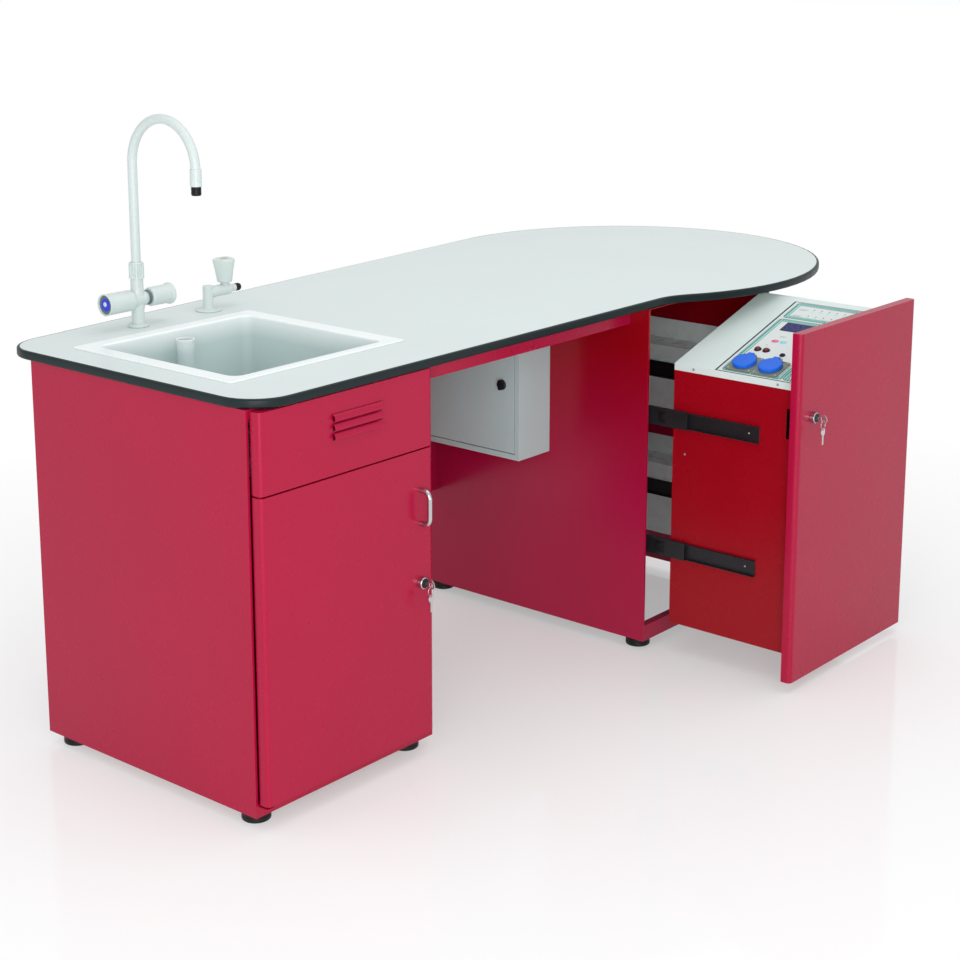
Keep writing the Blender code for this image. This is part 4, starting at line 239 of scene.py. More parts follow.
add_paint("blue_mark", (0.010, 0.020, 0.62), 0.35, mottle=0.06, mottle_size=0.01, grain=0.1,
          worn=(0.05, 0.08, 0.75), wear=0.4)
add_paint("beige_mark", (0.42, 0.38, 0.22), 0.42, mottle=0.08, mottle_size=0.01, grain=0.15,
          worn=(0.55, 0.50, 0.35), wear=0.4)
add_paint("overlay_ground", (0.66, 0.70, 0.69), 0.33, mottle=0.02, mottle_size=0.05, grain=0.1,
          grain_size=0.6 * MM)
add_paint("overlay_line", (0.004, 0.010, 0.014), 0.4, specular=0.2, mottle=0.1, grain=0.1)
add_paint("overlay_print", (0.33, 0.36, 0.38), 0.40, mottle=0.12, mottle_size=0.004, grain=0.1)
add_paint("overlay_mint", (0.45, 0.74, 0.62), 0.40, mottle=0.10, mottle_size=0.006, grain=0.1)
add_paint("overlay_pink", (0.72, 0.13, 0.27), 0.34, mottle=0.08, mottle_size=0.008, grain=0.1)
add_paint("overlay_cyan", (0.25, 0.66, 0.72), 0.34, mottle=0.08, mottle_size=0.008, grain=0.1)
PAINTS["overlay_teal"] = hatched("overlay_teal", (0.24, 0.70, 0.61), (0.012, 0.07, 0.07), 6.6 * MM)
add_paint("lamp_red", (0.25, 0.01, 0.02), 0.25, mottle=0.08, mottle_size=0.004, grain=0.1)
add_paint("display", (0.010, 0.014, 0.12), 0.30, specular=0.25, mottle=0.15, mottle_size=0.02,
          grain=0.05, stains=(0.016, 0.022, 0.15))
# Near-black for the socket pin holes: painted shade.
add_paint("painted_shade_black", (0.008, 0.008, 0.008), 0.6, mottle=0.2, grain=0.2)


# Shapes

def edge_layer(shape):
    """The layer that flags narrow rounded faces, which the finishes show lighter, as scuffing and a painted
    highlight.
    """
    return shape.faces.layers.float.get("edge") or shape.faces.layers.float.new("edge")


def mark_roundings(shape, widest=3 * MM):
    """Flag the faces of every small rounding that is built into a shape."""
    layer = edge_layer(shape)
    for face in shape.faces:
        bent = [edge for edge in face.edges if len(edge.link_faces) == 2 and
                edge.calc_face_angle(0.0) > math.radians(12)]
        if len(bent) >= 2 and min(edge.calc_length() for edge in face.edges) < widest:
            face[layer] = 1.0


def soften(shape, width, segments=2, angle=28):
    """Round every sharp edge of a shape and flag the new faces."""
    layer = edge_layer(shape)
    sharp = [edge for edge in shape.edges if len(edge.link_faces) == 2 and
             edge.calc_face_angle(0.0) > math.radians(angle)]
    result = bmesh.ops.bevel(shape, geom=sharp, offset=width, segments=segments, profile=0.5,
                             affect="EDGES", offset_type="OFFSET", clamp_overlap=False)
    for face in result["faces"]:
        face[layer] = 1.0


def piece(name, shape, paint, body, replaces=(), sharp=38):
    """Turn a shape into an object that rides on a body and takes its finish from a slot."""
    bmesh.ops.recalc_face_normals(shape, faces=shape.faces[:])
    for face in shape.faces:
        face.smooth = True
    for edge in shape.edges:
        edge.smooth = len(edge.link_faces) == 2 and edge.calc_face_angle(0.0) < math.radians(sharp)
    mesh = bpy.data.meshes.new(name)
    shape.to_mesh(mesh)
    shape.free()
    mesh.materials.append(PAINTS[paint])
    item = bpy.data.objects.new(name, mesh)
    scene.collection.objects.link(item)
    weighted = item.modifiers.new("weighted normals", "WEIGHTED_NORMAL")
    weighted.keep_sharp = True
    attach(item, body)
    if replaces:
        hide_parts(*replaces)
    return item


def body_of(node):
    """Name of the body that a node belongs to."""
    return frame["nodes"][node]["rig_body"]


def stand_for(node, shape, sharp=38, paint=None):
    """A finer shape in place of one CAD node, in the node's own finish and body."""
    slot = SLOT_OF[node]
    return piece(f"{node}_fine", shape, paint or slot, body_of(node), (node,), sharp)


def corner_cut(points, radius, steps=4, closed=False):
    """A chain of flat points with every corner rounded by a short curve."""
    result = []
    count = len(points)
    for index, point in enumerate(points):
        if not closed and index in (0, count - 1):
            result.append(tuple(point))
            continue
        here = Vector(point)
        before = Vector(points[index - 1]) - here
        after = Vector(points[(index + 1) % count]) - here
        reach = min(radius, before.length * 0.48, after.length * 0.48)
        start = here + before.normalized() * reach
        end = here + after.normalized() * reach
        for step in range(steps + 1):
            share = step / steps
            curve = start * (1 - share) ** 2 + here * 2 * share * (1 - share) + end * share ** 2
            result.append(tuple(curve))
    return result


def loft(rings, loop=False):
    """A closed skin over rings of points, capped at both ends or closed on itself."""
    shape = bmesh.new()
    rows = [[shape.verts.new(point) for point in ring] for ring in rings]
    pairs = list(zip(rows, rows[1:] + rows[:1])) if loop else list(zip(rows, rows[1:]))
    for first, second in pairs:
        for index in range(len(first)):
            following = (index + 1) % len(first)
            shape.faces.new((first[index], first[following], second[following], second[index]))
    if not loop:
        shape.faces.new(rows[0][::-1])
        shape.faces.new(rows[-1])
    bmesh.ops.remove_doubles(shape, verts=shape.verts[:], dist=1e-7)
    return shape


def prism(outline, low, high, matrix=None):
    """A straight solid over an outline in X and Y, or in the axes of a matrix."""
    matrix = matrix or Matrix.Identity(4)
    return loft([[matrix @ Vector((x, y, height)) for x, y in outline] for height in (low, high)])


def axis_frame(centre, axis):
    """A frame whose +Z runs along an axis named by its letter or given as a vector."""
    named = {"X": Vector((1, 0, 0)), "Y": Vector((0, 1, 0)), "Z": Vector((0, 0, 1))}
    direction = named.get(axis) if isinstance(axis, str) else axis
    turn = Vector((0, 0, 1)).rotation_difference(direction).to_matrix().to_4x4()
    return Matrix.Translation(Vector(centre)) @ turn


def lathe(profile, matrix, sides=64, loop=False, radius_at=None):
    """A shape turned round a frame's Z from points of radius and height."""
    rings = []
    for radius, height in profile:
        ring = []
        for step in range(sides):
            angle = FULL_TURN * step / sides
            reach = radius_at(radius, height, angle) if radius_at else radius
            ring.append(matrix @ Vector((reach * math.cos(angle), reach * math.sin(angle), height)))
        rings.append(ring)
    shape = loft(rings, loop)
    mark_roundings(shape)
    return shape


def turned_solid(profile, centre, axis="Z", sides=64, radius=0.8 * MM, loop=False):
    """A lathe shape whose profile corners are all rounded a little."""
    return lathe(corner_cut(profile, radius, 3, loop), axis_frame(centre, axis), sides, loop)


def tube(path, radius, sides=24):
    """A round bar along a path of points, with flat ends."""
    rings = []
    side = None
    for index, point in enumerate(path):
        before = path[max(index - 1, 0)]
        after = path[min(index + 1, len(path) - 1)]
        along = (after - before).normalized()
        if side is None:
            side = along.orthogonal().normalized()
        side = (side - along * side.dot(along)).normalized()
        other = along.cross(side)
        ring = []
        for step in range(sides):
            angle = FULL_TURN * step / sides
            ring.append(point + radius * (math.cos(angle) * side + math.sin(angle) * other))
        rings.append(ring)
    return loft(rings)


def joined(*shapes):
    """Several closed shapes in one mesh."""
    result = bmesh.new()
    edge_layer(result)
    for shape in shapes:
        edge_layer(shape)
        mesh = bpy.data.meshes.new("part")
        bmesh.ops.recalc_face_normals(shape, faces=shape.faces[:])
        shape.to_mesh(mesh)
        shape.free()
        result.from_mesh(mesh)
        bpy.data.meshes.remove(mesh)
    return result


def rounded_rectangle(low, high, radius, steps=10):
    """Outline of a rectangle with round corners."""
    centres = [
        (high[0] - radius, high[1] - radius),
        (low[0] + radius, high[1] - radius),
        (low[0] + radius, low[1] + radius),
        (high[0] - radius, low[1] + radius),
    ]
    outline = []
    for quarter, (x, y) in enumerate(centres):
        for step in range(steps + 1):
            angle = math.pi / 2 * (quarter + step / steps)
            outline.append((x + radius * math.cos(angle), y + radius * math.sin(angle)))
    return outline


def circle(radius, sides):
    """Points of a circle in plan."""
    angles = [FULL_TURN * step / sides for step in range(sides)]
    return [(radius * math.cos(angle), radius * math.sin(angle)) for angle in angles]


def cad_copy(node):
    """A welded copy of a CAD node with its flat regions as single faces."""
    shape = bmesh.new()
    shape.from_mesh(frame["nodes"][node].data)
    bmesh.ops.remove_doubles(shape, verts=shape.verts[:], dist=5e-6)
    bmesh.ops.dissolve_limit(shape, angle_limit=math.radians(1), verts=shape.verts[:], edges=shape.edges[:])
    return shape


def boolean(shape, tool, operation):
    """A shape joined with, or cut by, another closed shape."""
    items = []
    for index, source in enumerate((shape, tool)):
        bmesh.ops.recalc_face_normals(source, faces=source.faces[:])
        mesh = bpy.data.meshes.new(f"boolean_{index}")
        source.to_mesh(mesh)
        source.free()
        item = bpy.data.objects.new(mesh.name, mesh)
        scene.collection.objects.link(item)
        items.append(item)
    change = items[0].modifiers.new("boolean", "BOOLEAN")
    change.object, change.operation, change.solver = items[1], operation, "EXACT"
    graph = bpy.context.evaluated_depsgraph_get()
    result = bmesh.new()
    result.from_mesh(items[0].evaluated_get(graph).to_mesh())
    for item in items:
        bpy.data.objects.remove(item)
    bmesh.ops.dissolve_limit(result, angle_limit=math.radians(1), verts=result.verts[:],
                             edges=result.edges[:])
    return result


def block(low, high):
    """A box between two corners."""
    outline = [(low[0], low[1]), (high[0], low[1]), (high[0], high[1]), (low[0], high[1])]
    return prism(outline, low[2], high[2])


# Sheet metal, worktop and carcasses

FOLD_RADIUS = 0.7 * MM
FINE_RADIUS = 0.35 * MM


def dress(node, width, sharp=38, paint=None):
    """The CAD node's own shape with its sharp edges rounded."""
    shape = cad_copy(node)
    if width:
        soften(shape, width)
    return stand_for(node, shape, sharp, paint)


def dress_carcasses():
    """Folded steel sheet, the wall box and the slides keep the frame's shapes."""
    for node in ("sink_cabinet", "door", "drawer_front", "front_rail"):
        dress(node, FOLD_RADIUS)
    # The knee-space side and the modesty panel take the red with painted shade and a painted floor
    # reflection.
    for node in ("drawer_cabinet", "modesty_panel"):
        dress(node, FOLD_RADIUS, paint="red_knee_painted_shade_reflection")
    # The tower's body takes the darker red copy: painted shade.
    dress("drawer_body", FINE_RADIUS, paint="red_tower_painted_shade")
    for node in ("control_cover", "enclosure_box", "enclosure_door", "power_unit"):
        dress(node, FINE_RADIUS)
    for side in ("left", "right"):
        for level in ("upper", "lower"):
            for member in ("outer", "middle", "inner"):
                node = f"slide_{member}_{side}_{level}"
                # Grey slide members take the lighter grey copy: painted light.
                lighter = "grey_carrier_painted_light" if SLOT_OF[node] == "box_grey" else None
                dress(node, FINE_RADIUS, paint=lighter)
    dress("breaker_row", FINE_RADIUS)
    dress("enclosure_knob", FINE_RADIUS)
    dress("sink_waste", FINE_RADIUS)
    dress("worktop_edge", 0.0, sharp=60)
    frame["nodes"]["worktop_board"].data.materials.clear()
    frame["nodes"]["worktop_board"].data.materials.append(PAINTS["laminate"])


LOUVRE_COUNT = 3
LOUVRE_PITCH = 18 * MM
LOUVRE_WIDTH = 134 * MM
LOUVRE_FROM_RIGHT = 147 * MM
LOUVRE_MIDDLE_BELOW_TOP = 62 * MM
LOUVRE_HEIGHT = 13 * MM
LOUVRE_PROUD = 8.5 * MM
LOUVRE_SKIN = 1.2 * MM


def vent_panel():
    """The panel over the door, with pressed louvres that bulge from a crease to an open lower lip, each with
    a near-black plate behind it as painted shadow.
    """
    low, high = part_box("vent_panel")
    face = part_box("door")[0].y
    right = high.x - LOUVRE_FROM_RIGHT
    left = right - LOUVRE_WIDTH
    middle = high.z - LOUVRE_MIDDLE_BELOW_TOP
    reach = LOUVRE_PITCH * LOUVRE_COUNT / 2
    patch_low, patch_high = (left - 2 * MM, middle - reach), (right + 2 * MM, middle + reach)
    front = block((patch_low[0], low.y - MM, patch_low[1]), (patch_high[0], face, patch_high[1]))
    fill = block((patch_low[0], face, patch_low[1]), (patch_high[0], face + SHEET, patch_high[1]))
    shape = boolean(boolean(cad_copy("vent_panel"), front, "DIFFERENCE"), fill, "UNION")
    soften(shape, FOLD_RADIUS)
    stand_for("vent_panel", shape)

    for number in range(LOUVRE_COUNT):
        bottom = middle + (number - (LOUVRE_COUNT - 1) / 2) * LOUVRE_PITCH - LOUVRE_HEIGHT / 2
        outer, inner = [], []
        for step in range(13):
            angle = math.pi / 2 * step / 12
            for chain, skin in ((outer, 0.0), (inner, LOUVRE_SKIN)):
                out = (LOUVRE_PROUD - skin) * math.sin(angle)
                rise = (LOUVRE_HEIGHT - skin) * math.cos(angle)
                chain.append((face - out, bottom + rise))
        section = [(face + MM, outer[0][1]), *outer, *inner[::-1], (face + MM, inner[0][1])]
        rings = [[Vector((x, y, z)) for y, z in section] for x in (left, right)]
        hood = loft(rings)
        soften(hood, 0.3 * MM, 2, 50)
        piece(f"vent_louvre_{number + 1}", hood, "red_paint", body_of("vent_panel"))
        # A near-black plate behind the louvre, reaching below its lip: painted shadow under the hood and
        # inside its open ends.
        shadow_plate_low = (left + MM, face - 0.3 * MM, bottom - 2.5 * MM)
        shadow_plate = block(shadow_plate_low, (right - MM, face + MM, bottom + 8 * MM))
        soften(shadow_plate, 0.1 * MM, 1)
        piece(f"vent_painted_shadow_{number + 1}", shadow_plate, "painted_shadow_red", body_of("vent_panel"))


# Sink

SINK_RIM_SIDE = 37 * MM
SINK_RIM_FRONT = 26.5 * MM
SINK_RIM_REAR = 34.5 * MM
SINK_RIM_CORNER = 7 * MM
SINK_CORNER = 22 * MM
SINK_WALL = 5 * MM
SINK_TAPER = 2 * MM
SINK_FLOOR_ROUNDING = 12 * MM
SINK_LIP = 4.5 * MM
DRAIN_HOLE = 17.8 * MM


def sink_bowl():
    """The moulded bowl: rounded rim, drawn-in walls, coved floor and drain hole."""
    low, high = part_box("sink_bowl")
    opening_low = (low.x + SINK_RIM_SIDE, low.y + SINK_RIM_FRONT)
    opening_high = (high.x - SINK_RIM_SIDE, high.y - SINK_RIM_REAR)
    pipe_low, pipe_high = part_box("sink_standpipe")
    drain = ((pipe_low.x + pipe_high.x) / 2, (pipe_low.y + pipe_high.y) / 2)
    rim_top, underside = high.z, low.z
    floor = underside + SINK_WALL
    rim_foot = rim_top - 3 * MM
    steps = 10

    def opening_ring(grow, height):
        outline = rounded_rectangle((opening_low[0] - grow, opening_low[1] - grow),
                                    (opening_high[0] + grow, opening_high[1] + grow),
                                    SINK_CORNER + grow, steps)
        return [Vector((x, y, height)) for x, y in outline]

    def rim_outline(inset, height):
        outline = rounded_rectangle((low.x + inset, low.y + inset), (high.x - inset, high.y - inset),
                                    SINK_RIM_CORNER - inset, steps)
        return [Vector((x, y, height)) for x, y in outline]

    def drain_ring(height):
        ring = []
        for point in opening_ring(-SINK_TAPER - SINK_FLOOR_ROUNDING, height):
            away = Vector((point.x - drain[0], point.y - drain[1])).normalized() * DRAIN_HOLE
            ring.append(Vector((drain[0] + away.x, drain[1] + away.y, height)))
        return ring

    def cove(grow, level, radius, turns=6):
        rings = []
        for step in range(turns + 1):
            angle = math.pi / 2 * step / turns
            inset = radius * (1 - math.sin(angle))
            rings.append(opening_ring(grow - inset, level + radius * (1 - math.cos(angle))))
        return rings

    rings = [drain_ring(floor)]
    rings += cove(-SINK_TAPER, floor, SINK_FLOOR_ROUNDING)
    for step in range(6):
        angle = math.pi / 2 * step / 5
        drop = SINK_LIP * (1 - math.sin(angle))
        rings.append(opening_ring(SINK_LIP * (1 - math.cos(angle)), rim_top - drop))
    for step in range(5):
        angle = math.pi / 2 * step / 4
        edge = 1.6 * MM
        rings.append(rim_outline(edge * (1 - math.sin(angle)), rim_top - edge * (1 - math.cos(angle))))
    rings.append(rim_outline(0.0, rim_foot))
    rings.append(opening_ring(SINK_WALL, rim_foot))
    rings += cove(SINK_WALL - SINK_TAPER, underside, SINK_FLOOR_ROUNDING + SINK_WALL - SINK_TAPER)[::-1]
    rings.append(drain_ring(underside))
    shape = loft(rings, loop=True)
    mark_roundings(shape, 2 * MM)
    stand_for("sink_bowl", shape, sharp=50)


def standpipe():
    """The overflow pipe with its rolled top and the spigot in the waste."""
    low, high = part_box("sink_standpipe")
    centre = ((low.x + high.x) / 2, (low.y + high.y) / 2, 0.0)
    radius = (high.x - low.x) / 2
    wall, spigot = 3 * MM, 12.9 * MM
    seat = low.z + 25 * MM
    profile = [
        (spigot - wall, low.z), (spigot, low.z), (spigot, seat), (radius - MM, seat),
        (radius - MM, seat + 3 * MM), (radius - 0.6 * MM, high.z - 7 * MM), (radius, high.z - 6 * MM),
        (radius, high.z), (radius - wall, high.z), (radius - wall, seat + wall), (spigot - wall, seat + wall),
    ]
    stand_for("sink_standpipe", turned_solid(profile, centre, loop=True, radius=1.2 * MM))


# Taps

TAP_FLANGE = 22.5 * MM
TAP_COLUMN = 13.5 * MM
TAP_BARREL = 17.5 * MM
TAP_NECK = 14 * MM
TAP_NECK_REACH = 30 * MM
TAP_KNOB_REACH = 88 * MM
UNION_HEIGHT = 31 * MM
UNION_COLLAR = 3 * MM
UNION_RADIUS = 16 * MM
UNION_RIBS = 18
SPINDLE = 5 * MM
SPINDLE_LENGTH = 10 * MM
SPOUT_RADIUS = 10 * MM
SLEEVE_RADIUS = 12 * MM
SLEEVE_LENGTH = 35 * MM


def shank(flange_radius, worktop_top, worktop_bottom, tail):
    """Tail, nut and shank under a tap, up to its flange."""
    return [
        (12 * MM, tail), (12 * MM, worktop_bottom - 8.3 * MM), (15.5 * MM, worktop_bottom - 8.3 * MM),
        (15.5 * MM, worktop_bottom - GAP), (12 * MM, worktop_bottom - GAP), (12 * MM, worktop_top + GAP),
        (flange_radius, worktop_top + GAP),
    ]


def main_tap():
    """Column, valve barrel and ribbed union, swan-neck spout, nozzle and the two knobs."""
    low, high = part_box("tap_body")
    board_low, board_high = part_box("worktop_board")
    base = Vector((low.x + TAP_FLANGE, low.y + TAP_FLANGE, 0.0))
    knob_low, knob_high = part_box("tap_knob_left")
    valve = Vector((base.x, base.y, (knob_low.z + knob_high.z) / 2))
    union_top = high.z - UNION_COLLAR
    union_foot = union_top - UNION_HEIGHT
    top = board_high.z

    column = shank(TAP_FLANGE, top, board_low.z, low.z) + [
        (TAP_FLANGE, top + 4 * MM), (TAP_FLANGE - 3 * MM, top + 6 * MM), (TAP_COLUMN, top + 6.6 * MM),
        (TAP_COLUMN, union_foot - 6 * MM), (TAP_COLUMN - 0.6 * MM, union_foot), (11 * MM, union_foot + MM),
    ]
    barrel = [
        (SPINDLE + MM, -TAP_BARREL), (TAP_BARREL, -TAP_BARREL), (TAP_BARREL, TAP_COLUMN),
        (TAP_NECK, TAP_COLUMN + 5 * MM), (TAP_NECK, TAP_NECK_REACH), (SPINDLE + MM, TAP_NECK_REACH),
    ]
    cone = [
        (TAP_BARREL - 3 * MM, -20 * MM), (TAP_BARREL - 2.5 * MM, 12 * MM), (TAP_COLUMN - 0.3 * MM, 27 * MM),
    ]
    seat = SPOUT_RADIUS + 0.6 * MM
    nut = [
        (seat, union_foot), (UNION_RADIUS, union_foot), (UNION_RADIUS, union_top),
        (14 * MM, union_top + 0.6 * MM), (13 * MM, high.z), (seat, high.z),
    ]

    def ribbed(radius, height, angle):
        rib = max(0.0, math.cos(UNION_RIBS * angle)) if radius > UNION_RADIUS - 0.4 * MM else 0.0
        return radius - 1.9 * MM * (rib if union_foot + 2 * MM < height < union_top - 2 * MM else 0.0)

    levels = [union_foot + UNION_HEIGHT * step / 12 for step in range(1, 12)]
    nut[2:2] = [(UNION_RADIUS, level) for level in levels]
    union = lathe(nut, axis_frame(base, "Z"), UNION_RIBS * 8, True, ribbed)
    stand_for("tap_body", joined(
        turned_solid(column, base),
        turned_solid(barrel, valve, "X"),
        turned_solid(cone, valve, "Z"),
        union,
    ), sharp=46)

    # A dark ring round the neck between column and knob: painted shade.
    ring = [(TAP_NECK - MM, 21 * MM), (TAP_NECK + 1.6 * MM, 21 * MM), (TAP_NECK + 1.6 * MM, 28.5 * MM),
            (TAP_NECK - MM, 28.5 * MM)]
    collar = lathe(corner_cut(ring, 0.8 * MM, 3, True), axis_frame(valve, "X"), 56, True)
    piece("tap_neck_painted_shade", collar, "painted_shade_grey", body_of("tap_body"))
    swan_neck(base)
    tap_knobs(valve)


def swan_neck(base):
    """The spout's bent tube with its end sleeve, and the ringed black nozzle."""
    low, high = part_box("tap_spout")
    nozzle_low, nozzle_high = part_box("tap_nozzle")
    radius = (base.y - (nozzle_low.y + nozzle_high.y) / 2) / 2
    rise = high.z - SPOUT_RADIUS - radius
    centre = Vector((base.x, base.y - radius, rise))
    outlet = Vector((base.x, base.y - 2 * radius, nozzle_high.z + GAP))
    path = [Vector((base.x, base.y, low.z))]
    path += [Vector((base.x, base.y, low.z + (rise - low.z) * share)) for share in (0.3, 0.6, 0.9)]
    for step in range(49):
        angle = math.pi * step / 48
        path.append(centre + radius * Vector((0.0, math.cos(angle), math.sin(angle))))
    path.append(outlet)
    sleeve = [
        (SPOUT_RADIUS - MM, outlet.z), (SLEEVE_RADIUS, outlet.z), (SLEEVE_RADIUS, outlet.z + SLEEVE_LENGTH),
        (SPOUT_RADIUS - MM, outlet.z + SLEEVE_LENGTH + 0.6 * MM),
    ]
    mouth = Vector((outlet.x, outlet.y, 0.0))
    stand_for("tap_spout", joined(tube(path, SPOUT_RADIUS, 32), turned_solid(sleeve, mouth)), sharp=50)

    outer, bore = (nozzle_high.x - nozzle_low.x) / 2, 7 * MM
    foot = nozzle_low.z
    profile = [(bore, foot), (outer - 1.5 * MM, foot), (outer - 0.6 * MM, foot + 2 * MM)]
    ridges = 5
    length = nozzle_high.z - nozzle_low.z - 3 * MM
    for ridge in range(ridges):
        start = nozzle_low.z + 2.6 * MM + length * ridge / ridges
        pitch = length / ridges
        profile += [(outer, start), (outer, start + pitch * 0.5)]
        profile += [(outer - 0.9 * MM, start + pitch * 0.62), (outer - 0.9 * MM, start + pitch * 0.88)]
    profile += [(outer - 0.9 * MM, nozzle_high.z), (bore, nozzle_high.z)]
    stand_for("tap_nozzle", lathe(profile, axis_frame(mouth, "Z"), 48, True), sharp=50)


def tap_knobs(valve):
    """Two round knobs: the left with a blue marked cap, the right with a turned rim."""
    for name, side, start in (("tap_knob_left", -1, TAP_BARREL), ("tap_knob_right", 1, TAP_NECK_REACH)):
        low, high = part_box(name)
        radius = (high.z - low.z) / 2
        face = start + GAP
        end = TAP_KNOB_REACH
        inner = radius - 2.2 * MM
        waist = radius - (0.6 * MM if side < 0 else 2.6 * MM)
        profile = [
            (0.0, face - SPINDLE_LENGTH), (SPINDLE, face - SPINDLE_LENGTH), (SPINDLE, face),
            (waist - 2.5 * MM, face), (waist - 0.3 * MM, face + 3 * MM), (waist, end - 11 * MM),
            (waist, end - 7 * MM), (radius, end - 5.5 * MM), (radius, end), (inner, end),
            (inner - 0.8 * MM, end - 4 * MM), (0.0, end - 4 * MM),
        ]
        matrix = axis_frame(valve, Vector((side, 0, 0)))
        shape = lathe(corner_cut(profile, 1.2 * MM, 3), matrix, 72)
        stand_for(name, shape, sharp=46)

        cap = "blue_mark" if side < 0 else "tap_white"
        floor = end - 4 * MM
        body = body_of(name)
        annulus = [
            (0.0, floor - MM), (inner - MM, floor - MM), (inner - MM, floor + 0.4 * MM),
            (0.0, floor + 0.4 * MM),
        ]
        # A dark disc on the floor of the knob's end recess, showing round the cap: painted shade.
        recess = lathe(corner_cut(annulus, 0.2 * MM, 2), matrix, 48)
        piece(f"{name}_recess", recess, "painted_shade_grey", body)
        plate = [
            (0.0, floor - 0.5 * MM), (13.5 * MM, floor - 0.5 * MM), (13.5 * MM, floor + MM),
            (12.5 * MM, floor + 1.6 * MM), (0.0, floor + 1.8 * MM),
        ]
        disc = lathe(corner_cut(plate, 0.4 * MM, 2), matrix, 48)
        piece(f"{name}_disc", disc, cap, body)
        button = [
            (0.0, floor + MM), (5 * MM, floor + MM), (5 * MM, floor + 2.6 * MM), (0.0, floor + 3.1 * MM),
        ]
        offset = matrix @ Matrix.Translation(Vector((1.5 * MM, 0.0, 0.0)))
        piece(f"{name}_button", lathe(corner_cut(button, 0.6 * MM, 3), offset, 40), "tap_white", body)


GAS_FLANGE = 29 * MM
GAS_COLUMN = 11.5 * MM
GAS_ARM = 12.5 * MM
GAS_ARM_REACH = 60 * MM
GAS_ARM_CONE = 12 * MM
GAS_NECK = 9 * MM
GAS_KNOB_OFFSET = 50 * MM
GAS_KNOB_TURN = math.radians(40)
GAS_TEETH = 18


def gas_tap():
    """Column with a side arm, a three-lobed knob with a marked cap, and a toothed black nozzle."""
    low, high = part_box("gas_tap_body")
    board_low, board_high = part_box("worktop_board")
    base = Vector((low.x + GAS_FLANGE, low.y + GAS_FLANGE, 0.0))
    nozzle_low, nozzle_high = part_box("gas_tap_nozzle")
    arm_height = (nozzle_low.z + nozzle_high.z) / 2
    top = board_high.z
    column_top = top + 55 * MM
    column = shank(GAS_FLANGE, top, board_low.z, low.z) + [
        (GAS_FLANGE, top + 3 * MM), (GAS_FLANGE - 4 * MM, top + 4.5 * MM), (GAS_COLUMN + MM, top + 5.2 * MM),
        (GAS_COLUMN, top + 7 * MM), (GAS_COLUMN, column_top), (0.0, column_top),
    ]
    arm_end = GAS_ARM_REACH + GAS_ARM_CONE
    tip = high.x - base.x
    arm = [
        (GAS_ARM - MM, 0.0), (GAS_ARM, 8 * MM), (GAS_ARM, GAS_ARM_REACH), (7.4 * MM, arm_end),
        (7.4 * MM, arm_end + MM), (8.5 * MM, arm_end + 1.6 * MM), (8.5 * MM, tip), (4.4 * MM, tip),
    ]
    neck_foot = Vector((base.x + GAS_KNOB_OFFSET, base.y, 0.0))
    knob_low, knob_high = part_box("gas_tap_knob")
    neck_top = high.z
    shoulder = [
        (GAS_ARM - 1.5 * MM, arm_height), (GAS_ARM - 1.5 * MM, arm_height + 10 * MM),
        (GAS_NECK, arm_height + GAS_ARM + 1.5 * MM), (GAS_NECK, neck_top), (SPINDLE + 0.4 * MM, neck_top),
        (SPINDLE + 0.4 * MM, arm_height),
    ]
    arm_centre = Vector((base.x, base.y, arm_height))
    stand_for("gas_tap_body", joined(
        turned_solid(column, base),
        turned_solid(arm, arm_centre, "X"),
        turned_solid(shoulder, neck_foot, loop=True),
    ), sharp=46)
    gas_knob(neck_foot, knob_low.z, neck_top + GAP, knob_high.z)

    outer = (nozzle_high.z - nozzle_low.z) / 2
    end = nozzle_high.x - base.x
    start = tip + GAP
    root = nozzle_low.x - base.x
    profile = [(0.0, root), (4 * MM, root), (4 * MM, start), (outer - MM, start)]
    profile += [(outer, start + 2 * MM + (end - start - 5 * MM) * step / 4) for step in range(5)]
    profile += [(outer - 1.2 * MM, end), (4.5 * MM, end), (4 * MM, end - 4 * MM), (0.0, end - 4 * MM)]

    def toothed(radius, height, angle):
        return radius * (1 - 0.09 * (radius > outer - 0.2 * MM) * max(0.0, math.cos(GAS_TEETH * angle)))

    shape = lathe(profile, axis_frame(arm_centre, "X"), GAS_TEETH * 6, False, toothed)
    stand_for("gas_tap_nozzle", shape, sharp=50)


def gas_knob(axis, spindle_low, foot, top):
    """The upturned knob: round at its foot, three sharp lobes with hollow sides at its head."""
    height = top - foot
    sides = 96
    rings = []
    profile = [
        (0.0, 0.90), (0.02, 0.97), (0.05, 1.0), (0.3, 1.0), (0.55, 1.0), (0.8, 1.0), (0.95, 1.0),
        (0.985, 0.98), (1.0, 0.93),
    ]
    for share, scale in profile:
        ring = []
        for step in range(sides):
            angle = FULL_TURN * step / sides
            lobe = math.cos(3 * (angle - GAS_KNOB_TURN))
            pointed = 0.13 * lobe + 0.045 * math.cos(6 * (angle - GAS_KNOB_TURN))
            radius = (16.5 * MM + 7.0 * MM * share) * (1 + pointed * share) * scale
            ring.append(Vector((axis.x + radius * math.cos(angle), axis.y + radius * math.sin(angle),
                                foot + height * share)))
        rings.append(ring)
    body = loft(rings)
    mark_roundings(body)
    spindle = turned_solid([(SPINDLE, spindle_low), (SPINDLE, foot + MM)], axis)
    stand_for("gas_tap_knob", joined(body, spindle), sharp=50)
    cap = [
        (0.0, top - 2 * MM), (10.5 * MM, top - 2 * MM), (10.5 * MM, top - 0.4 * MM), (9.5 * MM, top),
        (0.0, top + 0.3 * MM),
    ]
    shape = lathe(corner_cut(cap, 0.4 * MM, 3), axis_frame(axis, "Z"), 48)
    piece("gas_tap_knob_cap", shape, "beige_mark", body_of("gas_tap_knob"))


# Feet, handle, locks and keys

